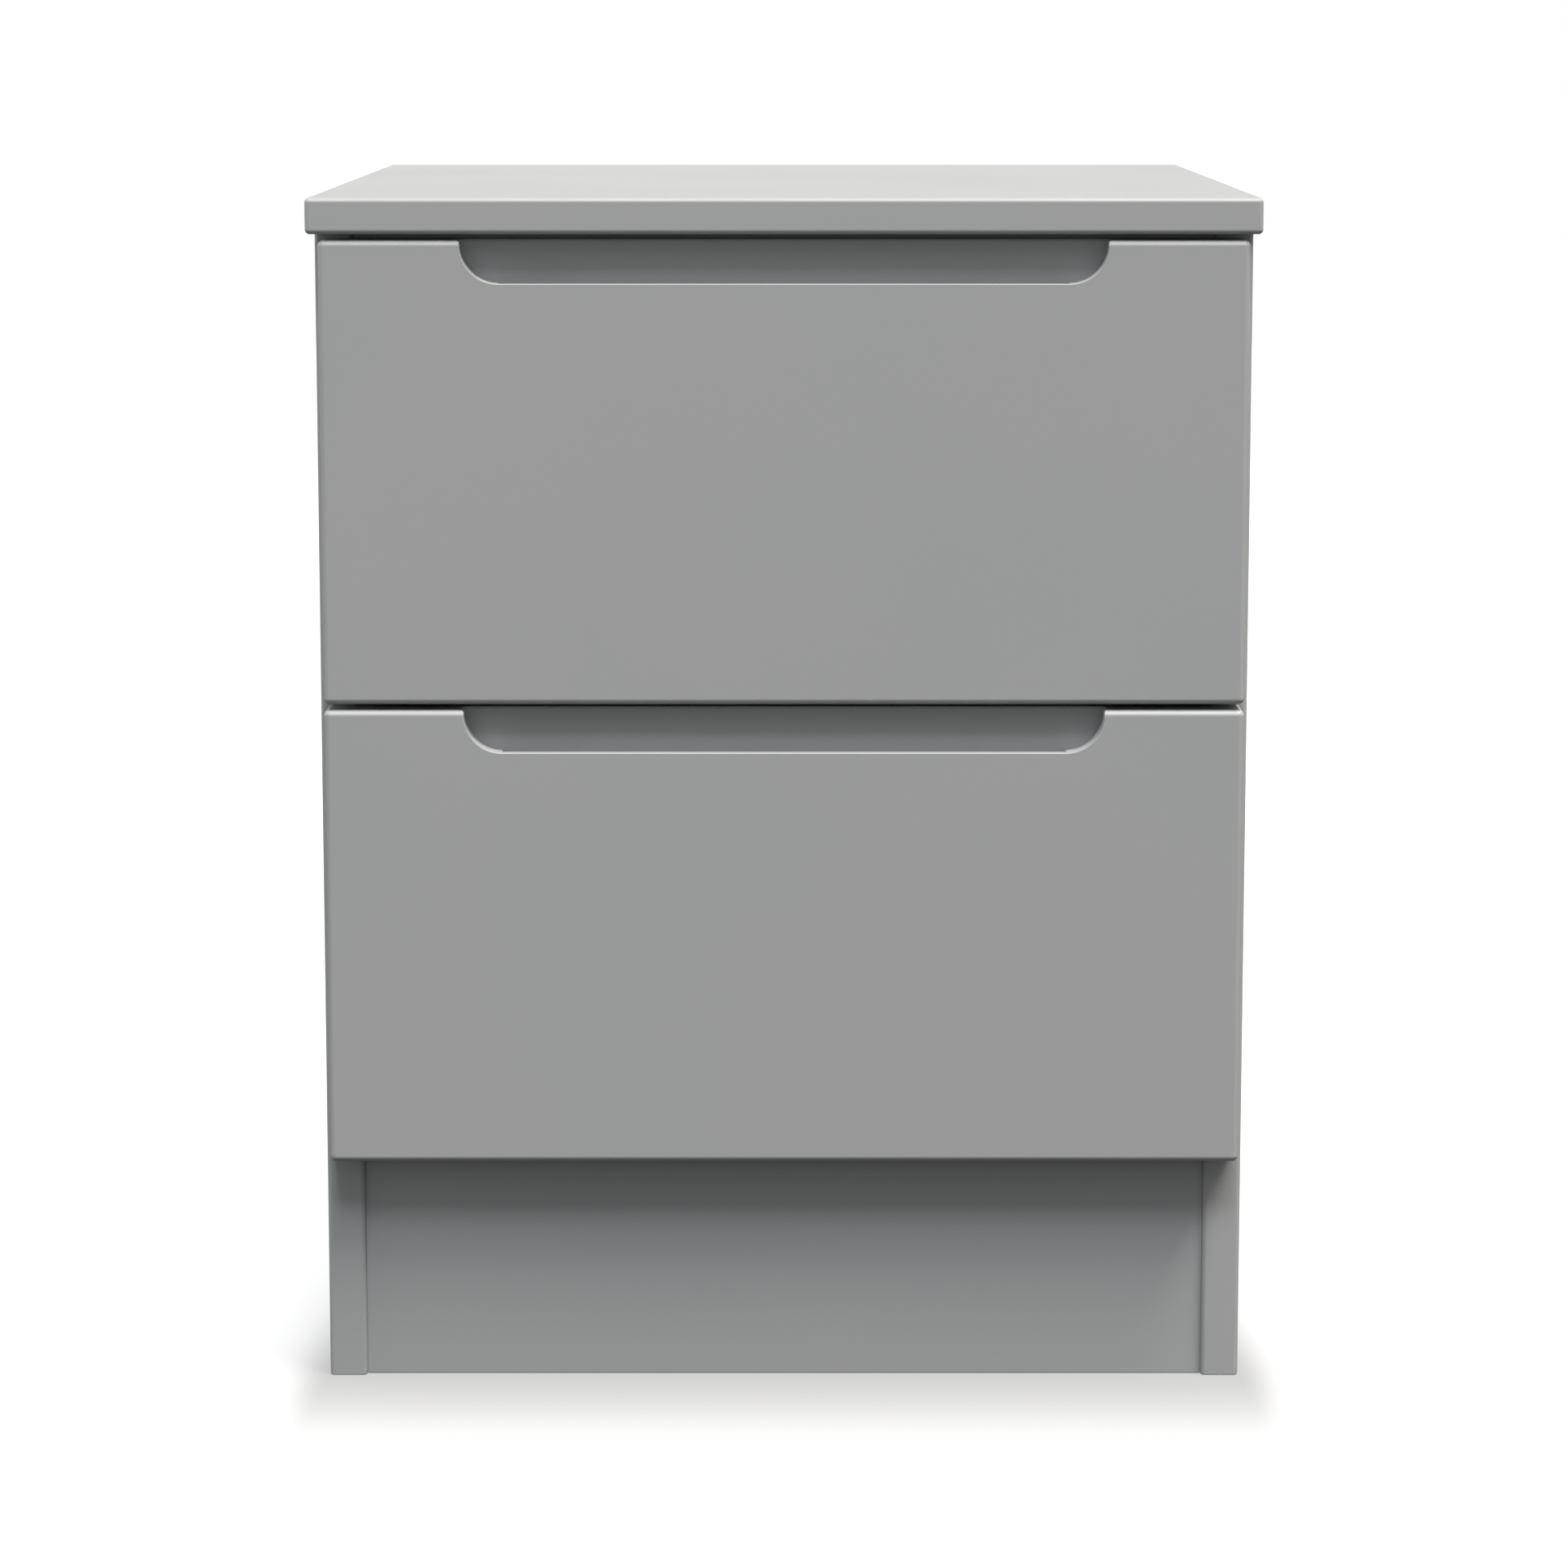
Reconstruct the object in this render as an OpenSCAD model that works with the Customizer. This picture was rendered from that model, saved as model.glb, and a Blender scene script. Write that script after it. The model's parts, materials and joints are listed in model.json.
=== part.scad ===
// Bedside cabinet with two drawers on roller runners.
// Millimetres. +X is to the right, the fronts face -Y and +Z is up. The origin is on the
// floor, under the middle of the top panel.

/* [Cabinet] */
// Width of the top panel
top_w = 395; // [390:1:410]
// Depth of the top panel, from its front edge to the wall side
top_d = 415; // [412:1:430]
// Height from the floor to the upper face
total_h = 506; // [502:1:515]
// Thickness of the top panel
top_t = 15; // [14:1:22]
// Rounding of the top panel's edges
top_r = 2; // [0.5:0.5:4]
// How far the top stands over each side panel
top_overhang = 2; // [0:0.5:6]
// Thickness of the side panels, the base panel, the plinth and the rails
panel_t = 16; // [16:1:19]
// Rounding of the side panels' front edges
side_r = 2; // [0.5:0.5:4]
// Height of the plinth under the base panel
plinth_h = 100; // [94:1:102]
// How far the plinth stands back from the side panels' front edges
plinth_setback = 2.7; // [1:0.1:20]
// Width of the two rails under the top
rail_w = 60; // [56:1:80]
// Thickness of the back panel
back_t = 3; // [2.5:0.1:4]
// Distance of the back panel from the wall side
back_inset = 10; // [8:0.5:20]

/* [Drawer fronts] */
// Width of a drawer front
front_w = 385; // [376:1:391]
// Height of a drawer front
front_h = 193.5; // [190:0.5:194]
// Thickness of a drawer front
front_t = 18; // [16:0.5:19]
// Rounding of a front's outer edges
front_r = 2.5; // [0.5:0.5:4]
// Distance from the top panel down to the upper front
top_gap = 2.5; // [1.5:0.5:4]
// Distance from the bottom of one front to the bottom of the next
front_pitch = 196; // [195.5:0.5:198]
// How far the top stands out over the fronts
front_shadow = 1; // [0:0.5:10]
// Air between a front's rear face and the side panels
bumper_gap = 1; // [1:0.5:3]

/* [Handle recess] */
// Width of the recess in a front's upper edge
recess_w = 268; // [160:1:300]
// Height of the recess, from its lip to the front's upper edge
recess_h = 18; // [18:0.5:26]
// Depth of the recess, from the face
recess_d = 12; // [9:0.5:13]
// Radius of the recess's lower corners
recess_r = 16; // [6:1:16]
// Thickness of the lip that the fingers pull on
lip_t = 5; // [3:0.5:5]
// Depth of the finger groove behind the lip
groove_d = 8; // [4:0.5:12]

/* [Drawer boxes] */
// Height of a drawer box
box_h = 125; // [112:1:130]
// Length of a drawer box, behind its front
box_l = 350; // [340:1:354]
// Thickness of the box's sides and back
box_t = 12; // [12:0.5:14]
// Thickness of the box's bottom
bottom_t = 3; // [2.5:0.1:4]
// Height of the bottom above the box's lower edge
bottom_lift = 10; // [8:0.5:14]
// Height of a box's lower edge above its front's lower edge
box_rise = 33; // [32:0.5:36]

/* [Runners] */
// Space that a runner fills on each side of a box
runner_space = 12.5; // [12.5:0.1:13]
// Thickness of the runners' steel
steel_t = 1.2; // [1:0.1:1.2]
// Radius of a roller
roller_r = 10; // [9:0.5:10]
// Width of a roller
roller_w = 7; // [6:0.5:7]
// How far a drawer runs out
travel = 260; // [200:1:260]

/* [Hidden] */
$fn = 48;

// Colours
FOIL = [0.62, 0.63, 0.63];
HARDBOARD = [0.55, 0.42, 0.30];
BEECH = [0.82, 0.68, 0.47];
ZINC = [0.72, 0.73, 0.75];
WHITE_STEEL = [0.90, 0.90, 0.88];
NYLON = [0.94, 0.94, 0.91];
CLEAR_RUBBER = [0.85, 0.86, 0.86];

// Small distance by which a cutter runs past the face that it opens
EPS = 0.5;
// Play between a pin and its bore, and between a tongue and its groove
FIT = 0.05;
GROOVE_FIT = 0.1;

// Outline of the cabinet
body_x = top_w / 2 - top_overhang;
inner_x = body_x - panel_t;
panel_mid_x = body_x - panel_t / 2;
front_face_y = front_shadow - top_d / 2;
front_back_y = front_face_y + front_t;
side_front_y = front_back_y + bumper_gap;
rear_y = top_d / 2;
side_h = total_h - top_t;
back_y = rear_y - back_inset - back_t;
shelf_rear_y = back_y - GROOVE_FIT;
base_z = plinth_h;
plinth_y = side_front_y + plinth_setback;
rail_z = side_h - panel_t;
rail_setback = 2;
// The back panel's tongue in the side panels, and its lower and upper edges
BACK_TONGUE = 4.5;
BACK_LOWER_Z = base_z - 4;
BACK_UPPER_Z = side_h - 0.2;
// How far the groove runs on below the back panel
GROOVE_RUNOUT = 5;

// Drawers, named from the top down
UPPER = 0;
LOWER = 1;
function front_z(drawer) = side_h - top_gap - front_h - drawer * front_pitch;
function box_z(drawer) = front_z(drawer) + box_rise;
box_x = inner_x - runner_space;
box_inner_x = box_x - box_t;
box_mid_x = box_x - box_t / 2;
box_rear_y = front_back_y + box_l;
BOTTOM_TONGUE = 5;
BOX_EDGE_R = 1.5;

// Carcass hardware
DOWEL_R = 4;
DOWEL_L = 30;
DOWEL_IN_FACE = 10;
CAM_R = 7.5;
CAM_DEPTH = 12.5;
CAM_REACH = 24;
CAM_REACH_TOP = 34;
BOLT_EMBED = 11;
BOLT_R = 2.5;
BOLT_CHANNEL_R = 3.5;
// A cam bolt's neck and head, and how far the head reaches past the cam's axis
BOLT_NECK_L = 2.5;
BOLT_NECK_SHARE = 0.6;
BOLT_HEAD_L = 2;
BOLT_HEAD_PAST = 1;
// The cross in a cam's face, as a share of its radius, and its width and depth
CROSS_SHARE = 0.6;
CROSS_W = 1.2;
CROSS_D = 1.5;
// Distances of the fittings from the middle of the depth, along Y
SHELF_CAM_Y = 150;
SHELF_DOWEL_Y = 110;
TOP_CAM_Y = 128;
TOP_DOWEL_Y = 96;
RAIL_FIT_Y = 15;
PLINTH_DOWEL_Z = [25, 75];

// Plinth corner blocks
BLOCK = 20;
BLOCK_Z = 20;
BLOCK_H = 60;
BLOCK_SCREW_L = 31;
BLOCK_SCREW_R = 1.75;
NAIL_X = [-120, 0, 120];
NAIL_R = 0.9;
NAIL_L = 20;
NAIL_HEAD_R = 2.6;
NAIL_HEAD_T = 0.8;

// Drawer hardware
PEG_R = 3;
PEG_L = 25;
PEG_Z = [35, 105];
SMALL_CAM_R = 6;
SMALL_CAM_DEPTH = 9.4;
SMALL_BOLT_R = 2;
SMALL_CHANNEL_R = 2.6;
SMALL_CAM_Z = 70;
BOX_SCREW_Z = [45, 95];
BOX_SCREW_L = 40;
BOX_SCREW_R = 1.75;
BOTTOM_SCREW_X = [-120, 0, 120];
BOTTOM_SCREW_L = 18;
BOTTOM_SCREW_R = 1.5;
BOTTOM_SCREW_HEAD_R = 3;
BOTTOM_SCREW_HEAD_T = 1.4;
BUMPER_R = 4;
BUMPER_T = 0.8;
BUMPER_INSET = 15;

// Runner, measured from the side panel inwards and from the rear roller's centre upwards
ROLLER_U = 2;
ROLLER_PLAY = 0.3;
FLANGE_U = 10.3;
LIP_U = 9.4;
LIP_H = 2;
roller_z = 9;
floor_z = -roller_r - ROLLER_PLAY;
roof_z = roller_r + 0.6;
FRONT_ROLLER_DROP = 1.5;
drawer_flange_z = roller_r - FRONT_ROLLER_DROP + ROLLER_PLAY;
DRAWER_FLANGE_U = 2.6;
MEMBER_GAP = 2;
ROLLER_INSET = 12;
CHANNEL_START = 26;
cabinet_member_y = side_front_y + MEMBER_GAP;
front_roller_y = cabinet_member_y + ROLLER_INSET;
drawer_member_y = front_back_y + MEMBER_GAP;
rear_roller_y = box_rear_y - ROLLER_INSET;
// The stop stands where the rear roller meets it just past the end of the travel
STOP_H = 3;
STOP_PLAY = 0.6;
stop_reach = sqrt(pow(roller_r, 2) - pow(roller_r - STOP_H, 2));
stop_y = rear_roller_y - travel - stop_reach - STOP_PLAY;
AXLE_R = 2;
AXLE_PLAY = 0.03;
AXLE_HEAD_R = 3.5;
AXLE_HEAD_T = 0.7;
HEAD_POCKET_R = 4.2;
HEAD_POCKET_D = 1.2;
// From the pocket's floor to a rivet's head, with the roller's play at its other face
HEAD_CLEAR = 0.5;
RUNNER_SCREW_Y = [37, 165, 261];
RUNNER_SCREW_R = 2;
RUNNER_SCREW_HEAD_R = 3.6;
RUNNER_SCREW_HEAD_T = 0.5;
RUNNER_SCREW_L = 13;
UNDER_SCREW_Y = [40, 290];
UNDER_SCREW_R = 1.5;
UNDER_SCREW_L = 10;
UNDER_SCREW_HEAD_T = 1.4;

// ---------- outlines ----------

// Points on an arc about (cx, cy), or the one point itself where the radius is 0
function arc_points(cx, cy, r, from, to, steps = 6) =
    r <= 0 ? [[cx, cy]] :
    [for (i = [0:steps]) let (a = from + (to - from) * i / steps) [cx + r * cos(a), cy + r * sin(a)]];

// A rectangle with a radius for each corner: lower left, lower right, upper right, upper left
function rounded_rect(x0, y0, x1, y1, r) = concat(
    arc_points(x0 + r[0], y0 + r[0], r[0], 180, 270),
    arc_points(x1 - r[1], y0 + r[1], r[1], 270, 360),
    arc_points(x1 - r[2], y1 - r[2], r[2], 0, 90),
    arc_points(x0 + r[3], y1 - r[3], r[3], 90, 180)
);

// ---------- placing ----------

// Extrudes an outline in (y, z) along X
module along_x(x0, x1) {
    translate([x0, 0, 0]) rotate([90, 0, 90]) linear_extrude(x1 - x0) children();
}

// Extrudes an outline in (x, z) along Y
module along_y(y0, y1) {
    translate([0, y1, 0]) rotate([90, 0, 0]) linear_extrude(y1 - y0) children();
}

// Extrudes an outline in (x, y) along Z
module along_z(z0, z1) {
    translate([0, 0, z0]) linear_extrude(z1 - z0) children();
}

module block(x0, x1, y0, y1, z0, z1) {
    translate([x0, y0, z0]) cube([x1 - x0, y1 - y0, z1 - z0]);
}

module rod_x(x0, x1, y, z, r) {
    translate([x0, y, z]) rotate([0, 90, 0]) cylinder(h = x1 - x0, r = r);
}

module rod_y(x, y0, y1, z, r) {
    translate([x, y0, z]) rotate([-90, 0, 0]) cylinder(h = y1 - y0, r = r);
}

module rod_z(x, y, z0, z1, r) {
    translate([x, y, z0]) cylinder(h = z1 - z0, r = r);
}

// Draws a left-hand shape on the left, and mirrored on the right
module both_sides() {
    children();
    mirror([1, 0, 0]) children();
}

// Draws a left-hand shape on the one side that is asked for
module on_side(right) {
    if (right) mirror([1, 0, 0]) children();
    else children();
}

// ---------- loose hardware, each along its own +Z ----------

module dowel(r, l) {
    cylinder(h = l, r = r - FIT);
}

// A bolt whose thread sits below z = 0 and whose head reaches the cam at z = reach
module cam_bolt(thread_r, reach) {
    head_z = reach + BOLT_HEAD_PAST - BOLT_HEAD_L;
    neck_z = head_z - BOLT_NECK_L;
    translate([0, 0, -BOLT_EMBED + FIT]) cylinder(h = BOLT_EMBED + neck_z - FIT, r = thread_r - FIT);
    translate([0, 0, neck_z]) cylinder(h = BOLT_NECK_L, r = thread_r * BOLT_NECK_SHARE);
    translate([0, 0, head_z]) cylinder(h = BOLT_HEAD_L, r = thread_r - FIT);
}

// A cam seen from its open face at z = 0, with its body below. The bolt comes in along +Y.
module cam_lock(r, depth, axis_depth, channel_r) {
    arm = r * CROSS_SHARE;
    difference() {
        translate([0, 0, -depth + FIT]) cylinder(h = depth - FIT, r = r - 2 * FIT);
        rod_y(0, -channel_r, r + EPS, -axis_depth, channel_r);
        block(-arm, arm, -CROSS_W / 2, CROSS_W / 2, -CROSS_D, EPS);
        block(-CROSS_W / 2, CROSS_W / 2, -arm, arm, -CROSS_D, EPS);
    }
}

// A countersunk screw with its flat head flush at z = 0 and its shank going down
module flat_screw(r, l) {
    translate([0, 0, -l]) cylinder(h = l - r, r = r - FIT);
    translate([0, 0, -r]) cylinder(h = r, r1 = r - FIT, r2 = 2 * r - FIT);
}

// The hole that takes flat_screw
module flat_screw_hole(r, l) {
    translate([0, 0, -l - FIT]) cylinder(h = l, r = r);
    translate([0, 0, -r]) cylinder(h = r, r1 = r, r2 = 2 * r);
    cylinder(h = EPS, r = 2 * r);
}

// A screw with a proud round head above z = 0
module pan_screw(r, l, head_r, head_t) {
    translate([0, 0, -l]) cylinder(h = l + head_t / 2, r = r - FIT);
    cylinder(h = head_t, r = head_r);
}

// ---------- where the carcass fittings go, drawn on the left ----------

module at_top_dowels() {
    for (s = [-1, 1])
        translate([-panel_mid_x, s * TOP_DOWEL_Y, side_h + DOWEL_IN_FACE]) mirror([0, 0, 1]) children();
}

module at_top_bolts() {
    for (s = [-1, 1])
        translate([-panel_mid_x, s * TOP_CAM_Y, side_h]) mirror([0, 0, 1]) children();
}

module at_top_cams() {
    for (s = [-1, 1])
        translate([-inner_x, s * TOP_CAM_Y, side_h - CAM_REACH_TOP]) rotate([90, 0, 90]) children();
}

// Middle of each rail, along Y
front_rail_y = side_front_y + rail_setback + rail_w / 2;
rear_rail_y = shelf_rear_y - rail_w / 2;
rail_mid_z = rail_z + panel_t / 2;
base_mid_z = base_z + panel_t / 2;
plinth_mid_y = plinth_y + panel_t / 2;

// Dowel ends: (y, z) on the side panel's inner face
function face_dowels() = concat(
    [for (s = [-1, 1]) [s * SHELF_DOWEL_Y, base_mid_z]],
    [[front_rail_y + RAIL_FIT_Y, rail_mid_z], [rear_rail_y - RAIL_FIT_Y, rail_mid_z]],
    [for (z = PLINTH_DOWEL_Z) [plinth_mid_y, z]]
);

// Cam bolts: (y, z) on the side panel's inner face
function face_bolts() = concat(
    [for (s = [-1, 1]) [s * SHELF_CAM_Y, base_mid_z]],
    [[front_rail_y - RAIL_FIT_Y, rail_mid_z], [rear_rail_y + RAIL_FIT_Y, rail_mid_z]]
);

module at_face_dowels() {
    for (p = face_dowels())
        translate([-inner_x - DOWEL_IN_FACE, p[0], p[1]]) rotate([0, 90, 0]) children();
}

module at_face_bolts() {
    for (p = face_bolts())
        translate([-inner_x, p[0], p[1]]) rotate([0, 90, 0]) children();
}

// The cams that take the face bolts open downwards, in the panel's lower face
module at_face_cams() {
    for (p = face_bolts())
        translate([-inner_x + CAM_REACH, p[0], p[1] - panel_t / 2])
            rotate([0, 180, 0]) rotate([0, 0, -90]) children();
}

module carcass_holes() {
    at_top_dowels() cylinder(h = DOWEL_L + FIT, r = DOWEL_R);
    at_top_bolts() {
        translate([0, 0, -BOLT_EMBED]) cylinder(h = BOLT_EMBED + EPS, r = BOLT_R);
        cylinder(h = CAM_REACH_TOP, r = BOLT_CHANNEL_R);
    }
    at_top_cams() translate([0, 0, -CAM_DEPTH]) cylinder(h = CAM_DEPTH + EPS, r = CAM_R);
    at_face_dowels() cylinder(h = DOWEL_L + FIT, r = DOWEL_R);
    at_face_bolts() {
        translate([0, 0, -BOLT_EMBED]) cylinder(h = BOLT_EMBED + EPS, r = BOLT_R);
        cylinder(h = CAM_REACH, r = BOLT_CHANNEL_R);
    }
    at_face_cams() translate([0, 0, -CAM_DEPTH]) cylinder(h = CAM_DEPTH + EPS, r = CAM_R);
}

// Screws through the plinth blocks, drawn on the left
module at_block_screws() {
    translate([-inner_x + BLOCK, plinth_y + panel_t + BLOCK / 2, BLOCK_Z + BLOCK_H / 4])
        rotate([0, 90, 0]) children();
    translate([-inner_x + BLOCK / 2, plinth_y + panel_t + BLOCK, BLOCK_Z + BLOCK_H * 3 / 4])
        rotate([-90, 0, 0]) children();
}

module at_nails() {
    for (x = NAIL_X, z = [base_mid_z, rail_mid_z])
        translate([x, back_y + back_t, z]) rotate([-90, 0, 0]) children();
}

// ---------- carcass ----------

module top_panel() {
    r = [top_r, top_r, top_r, top_r];
    color(FOIL) difference() {
        intersection() {
            along_y(-top_d / 2, top_d / 2) polygon(rounded_rect(-top_w / 2, side_h, top_w / 2, total_h, r));
            along_x(-top_w / 2, top_w / 2) polygon(rounded_rect(-top_d / 2, side_h, top_d / 2, total_h, r));
        }
        both_sides() {
            at_top_dowels() cylinder(h = DOWEL_L, r = DOWEL_R);
            at_top_bolts() translate([0, 0, -BOLT_EMBED]) cylinder(h = BOLT_EMBED + EPS, r = BOLT_R);
        }
    }
}

module side_panel(right) {
    on_side(right) color(FOIL) difference() {
        along_z(0, side_h)
            polygon(rounded_rect(-body_x, side_front_y, -inner_x, rear_y, [side_r, side_r, 0, 0]));
        carcass_holes();
        at_block_screws() flat_screw_hole(BLOCK_SCREW_R, BLOCK_SCREW_L);
        block(-inner_x - BACK_TONGUE - EPS, -inner_x + EPS, back_y - GROOVE_FIT,
            back_y + back_t + GROOVE_FIT, BACK_LOWER_Z - GROOVE_RUNOUT, side_h + EPS);
        for (drawer = [UPPER, LOWER])
            at_runner(drawer) at_runner_screws() cylinder(h = RUNNER_SCREW_L, r = RUNNER_SCREW_R);
    }
}

module base_panel() {
    color(FOIL) difference() {
        block(-inner_x, inner_x, side_front_y + 1, shelf_rear_y, base_z, base_z + panel_t);
        both_sides() carcass_holes();
        at_nails() translate([0, 0, -NAIL_L - EPS]) cylinder(h = NAIL_L + 1, r = NAIL_R + FIT);
    }
}

module plinth() {
    color(FOIL) difference() {
        block(-inner_x, inner_x, plinth_y, plinth_y + panel_t, 0, plinth_h);
        both_sides() {
            carcass_holes();
            at_block_screws() flat_screw_hole(BLOCK_SCREW_R, BLOCK_SCREW_L);
        }
    }
}

module back_panel() {
    tongue_x = inner_x + BACK_TONGUE;
    color(HARDBOARD) difference() {
        block(-tongue_x, tongue_x, back_y, back_y + back_t, BACK_LOWER_Z, BACK_UPPER_Z);
        at_nails() translate([0, 0, -NAIL_L]) cylinder(h = NAIL_L + EPS, r = NAIL_R + FIT);
    }
}

module top_rail(y) {
    color(FOIL) difference() {
        block(-inner_x, inner_x, y - rail_w / 2, y + rail_w / 2, rail_z, side_h);
        both_sides() carcass_holes();
        at_nails() translate([0, 0, -NAIL_L - EPS]) cylinder(h = NAIL_L + 1, r = NAIL_R + FIT);
    }
}

module plinth_blocks() {
    color(BEECH) both_sides() difference() {
        block(-inner_x, -inner_x + BLOCK, plinth_y + panel_t, plinth_y + panel_t + BLOCK,
            BLOCK_Z, BLOCK_Z + BLOCK_H);
        at_block_screws() flat_screw_hole(BLOCK_SCREW_R, BLOCK_SCREW_L);
    }
}

module plinth_block_screws() {
    color(ZINC) both_sides() at_block_screws() flat_screw(BLOCK_SCREW_R, BLOCK_SCREW_L);
}

module carcass_dowels() {
    color(BEECH) both_sides() {
        at_top_dowels() dowel(DOWEL_R, DOWEL_L);
        at_face_dowels() dowel(DOWEL_R, DOWEL_L);
    }
}

module cam_bolts() {
    color(ZINC) both_sides() {
        at_top_bolts() cam_bolt(BOLT_R, CAM_REACH_TOP);
        at_face_bolts() cam_bolt(BOLT_R, CAM_REACH);
    }
}

module cam_locks() {
    color(ZINC) both_sides() {
        at_top_cams() cam_lock(CAM_R, CAM_DEPTH, panel_t / 2, BOLT_R + 0.5);
        at_face_cams() cam_lock(CAM_R, CAM_DEPTH, panel_t / 2, BOLT_R + 0.5);
    }
}

module back_panel_nails() {
    color(ZINC) at_nails() {
        translate([0, 0, -NAIL_L + FIT]) cylinder(h = NAIL_L, r = NAIL_R);
        cylinder(h = NAIL_HEAD_T, r = NAIL_HEAD_R);
    }
}

// ---------- runners, drawn on the left from the side panel inwards ----------

// Puts u = 0 on the side panel's inner face and z = 0 at the rear roller's centre
module at_runner(drawer) {
    translate([-inner_x, 0, box_z(drawer) + roller_z]) children();
}

// Screws that hold the runner to the side panel, pointing into the panel
module at_runner_screws() {
    for (y = RUNNER_SCREW_Y)
        translate([0, side_front_y + y, 0]) rotate([0, -90, 0]) children();
}

// Screws from below into the drawer side, pointing up
module at_under_screws() {
    for (y = UNDER_SCREW_Y)
        translate([runner_space + box_t / 2, front_back_y + y, -roller_z]) children();
}

module cabinet_runner(drawer, right) {
    on_side(right) color(WHITE_STEEL) at_runner(drawer) difference() {
        union() {
            block(0, steel_t, cabinet_member_y, cabinet_member_y + box_l,
                floor_z - steel_t, roof_z + steel_t);
            block(0, FLANGE_U, cabinet_member_y + CHANNEL_START, cabinet_member_y + box_l,
                floor_z - steel_t, floor_z);
            block(0, FLANGE_U, cabinet_member_y + CHANNEL_START, cabinet_member_y + box_l,
                roof_z, roof_z + steel_t);
            block(LIP_U, FLANGE_U, cabinet_member_y + CHANNEL_START, cabinet_member_y + box_l,
                floor_z - steel_t, floor_z + LIP_H);
            block(ROLLER_U + 1, LIP_U - 1, stop_y - steel_t, stop_y, floor_z - steel_t, floor_z + STOP_H);
        }
        rod_x(-EPS, steel_t + EPS, front_roller_y, -FRONT_ROLLER_DROP, AXLE_R + FIT);
        at_runner_screws() mirror([0, 0, 1]) {
            translate([0, 0, -EPS]) cylinder(h = steel_t + 2 * EPS, r = RUNNER_SCREW_R + FIT);
            cylinder(h = steel_t, r1 = RUNNER_SCREW_R + FIT, r2 = RUNNER_SCREW_HEAD_R + FIT);
            translate([0, 0, steel_t]) cylinder(h = EPS, r = RUNNER_SCREW_HEAD_R + FIT);
        }
    }
}

module drawer_runner(drawer, right) {
    web_u = runner_space - steel_t;
    flange_end_y = rear_roller_y - roller_r - 3;
    on_side(right) color(WHITE_STEEL) at_runner(drawer) difference() {
        union() {
            block(web_u, runner_space, drawer_member_y, box_rear_y,
                -roller_z - steel_t, drawer_flange_z + steel_t);
            block(web_u, runner_space + box_t - 1, drawer_member_y, box_rear_y,
                -roller_z - steel_t, -roller_z);
            block(DRAWER_FLANGE_U, runner_space, drawer_member_y, flange_end_y,
                drawer_flange_z, drawer_flange_z + steel_t);
        }
        rod_x(web_u - EPS, runner_space + EPS, rear_roller_y, 0, AXLE_R + FIT);
        at_under_screws() translate([0, 0, -steel_t - EPS])
            cylinder(h = steel_t + 2 * EPS, r = UNDER_SCREW_R + FIT);
    }
}

// A roller whose head pocket opens towards +Z, standing on z = 0
module roller() {
    difference() {
        cylinder(h = roller_w, r = roller_r);
        translate([0, 0, -EPS]) cylinder(h = roller_w + 2 * EPS, r = AXLE_R + AXLE_PLAY);
        translate([0, 0, roller_w - HEAD_POCKET_D]) cylinder(h = HEAD_POCKET_D + EPS, r = HEAD_POCKET_R);
    }
}

module front_roller(drawer, right) {
    on_side(right) color(NYLON) at_runner(drawer)
        translate([ROLLER_U, front_roller_y, -FRONT_ROLLER_DROP]) rotate([0, 90, 0]) roller();
}

module rear_roller(drawer, right) {
    on_side(right) color(NYLON) at_runner(drawer)
        translate([ROLLER_U + roller_w, rear_roller_y, 0]) rotate([0, -90, 0]) roller();
}

// A rivet along +Z: foot in the steel, collar, bearing length and a head in the roller's pocket
module axle(foot, collar) {
    head_z = foot + collar + roller_w - HEAD_POCKET_D + HEAD_CLEAR;
    cylinder(h = head_z, r = AXLE_R);
    translate([0, 0, foot]) cylinder(h = collar, r = AXLE_HEAD_R);
    translate([0, 0, head_z]) cylinder(h = AXLE_HEAD_T, r = AXLE_HEAD_R);
}

module front_roller_axles() {
    color(ZINC) both_sides() for (drawer = [UPPER, LOWER]) at_runner(drawer)
        translate([0, front_roller_y, -FRONT_ROLLER_DROP]) rotate([0, 90, 0])
            axle(steel_t, ROLLER_U - steel_t - ROLLER_PLAY);
}

module rear_roller_axles(drawer) {
    color(ZINC) both_sides() at_runner(drawer)
        translate([runner_space, rear_roller_y, 0]) rotate([0, -90, 0])
            axle(steel_t, runner_space - steel_t - ROLLER_U - roller_w - ROLLER_PLAY);
}

module cabinet_runner_screws() {
    color(ZINC) both_sides() for (drawer = [UPPER, LOWER]) at_runner(drawer) at_runner_screws() {
        cylinder(h = RUNNER_SCREW_L - FIT, r = RUNNER_SCREW_R - FIT);
        mirror([0, 0, 1]) cylinder(h = steel_t, r1 = RUNNER_SCREW_R - FIT, r2 = RUNNER_SCREW_HEAD_R - FIT);
        mirror([0, 0, 1]) translate([0, 0, steel_t])
            cylinder(h = RUNNER_SCREW_HEAD_T, r = RUNNER_SCREW_HEAD_R - FIT);
    }
}

module drawer_runner_screws(drawer) {
    color(ZINC) both_sides() at_runner(drawer) at_under_screws() {
        translate([0, 0, -steel_t]) cylinder(h = UNDER_SCREW_L, r = UNDER_SCREW_R - FIT);
        translate([0, 0, -steel_t - UNDER_SCREW_HEAD_T])
            cylinder(h = UNDER_SCREW_HEAD_T, r = 2 * UNDER_SCREW_R);
    }
}

// ---------- where the drawer fittings go, drawn on the left ----------

module at_pegs(drawer) {
    for (z = PEG_Z)
        translate([-box_mid_x, front_back_y - DOWEL_IN_FACE, box_z(drawer) + z])
            rotate([-90, 0, 0]) children();
}

module at_small_bolts(drawer) {
    translate([-box_mid_x, front_back_y, box_z(drawer) + SMALL_CAM_Z]) rotate([-90, 0, 0]) children();
}

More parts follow.
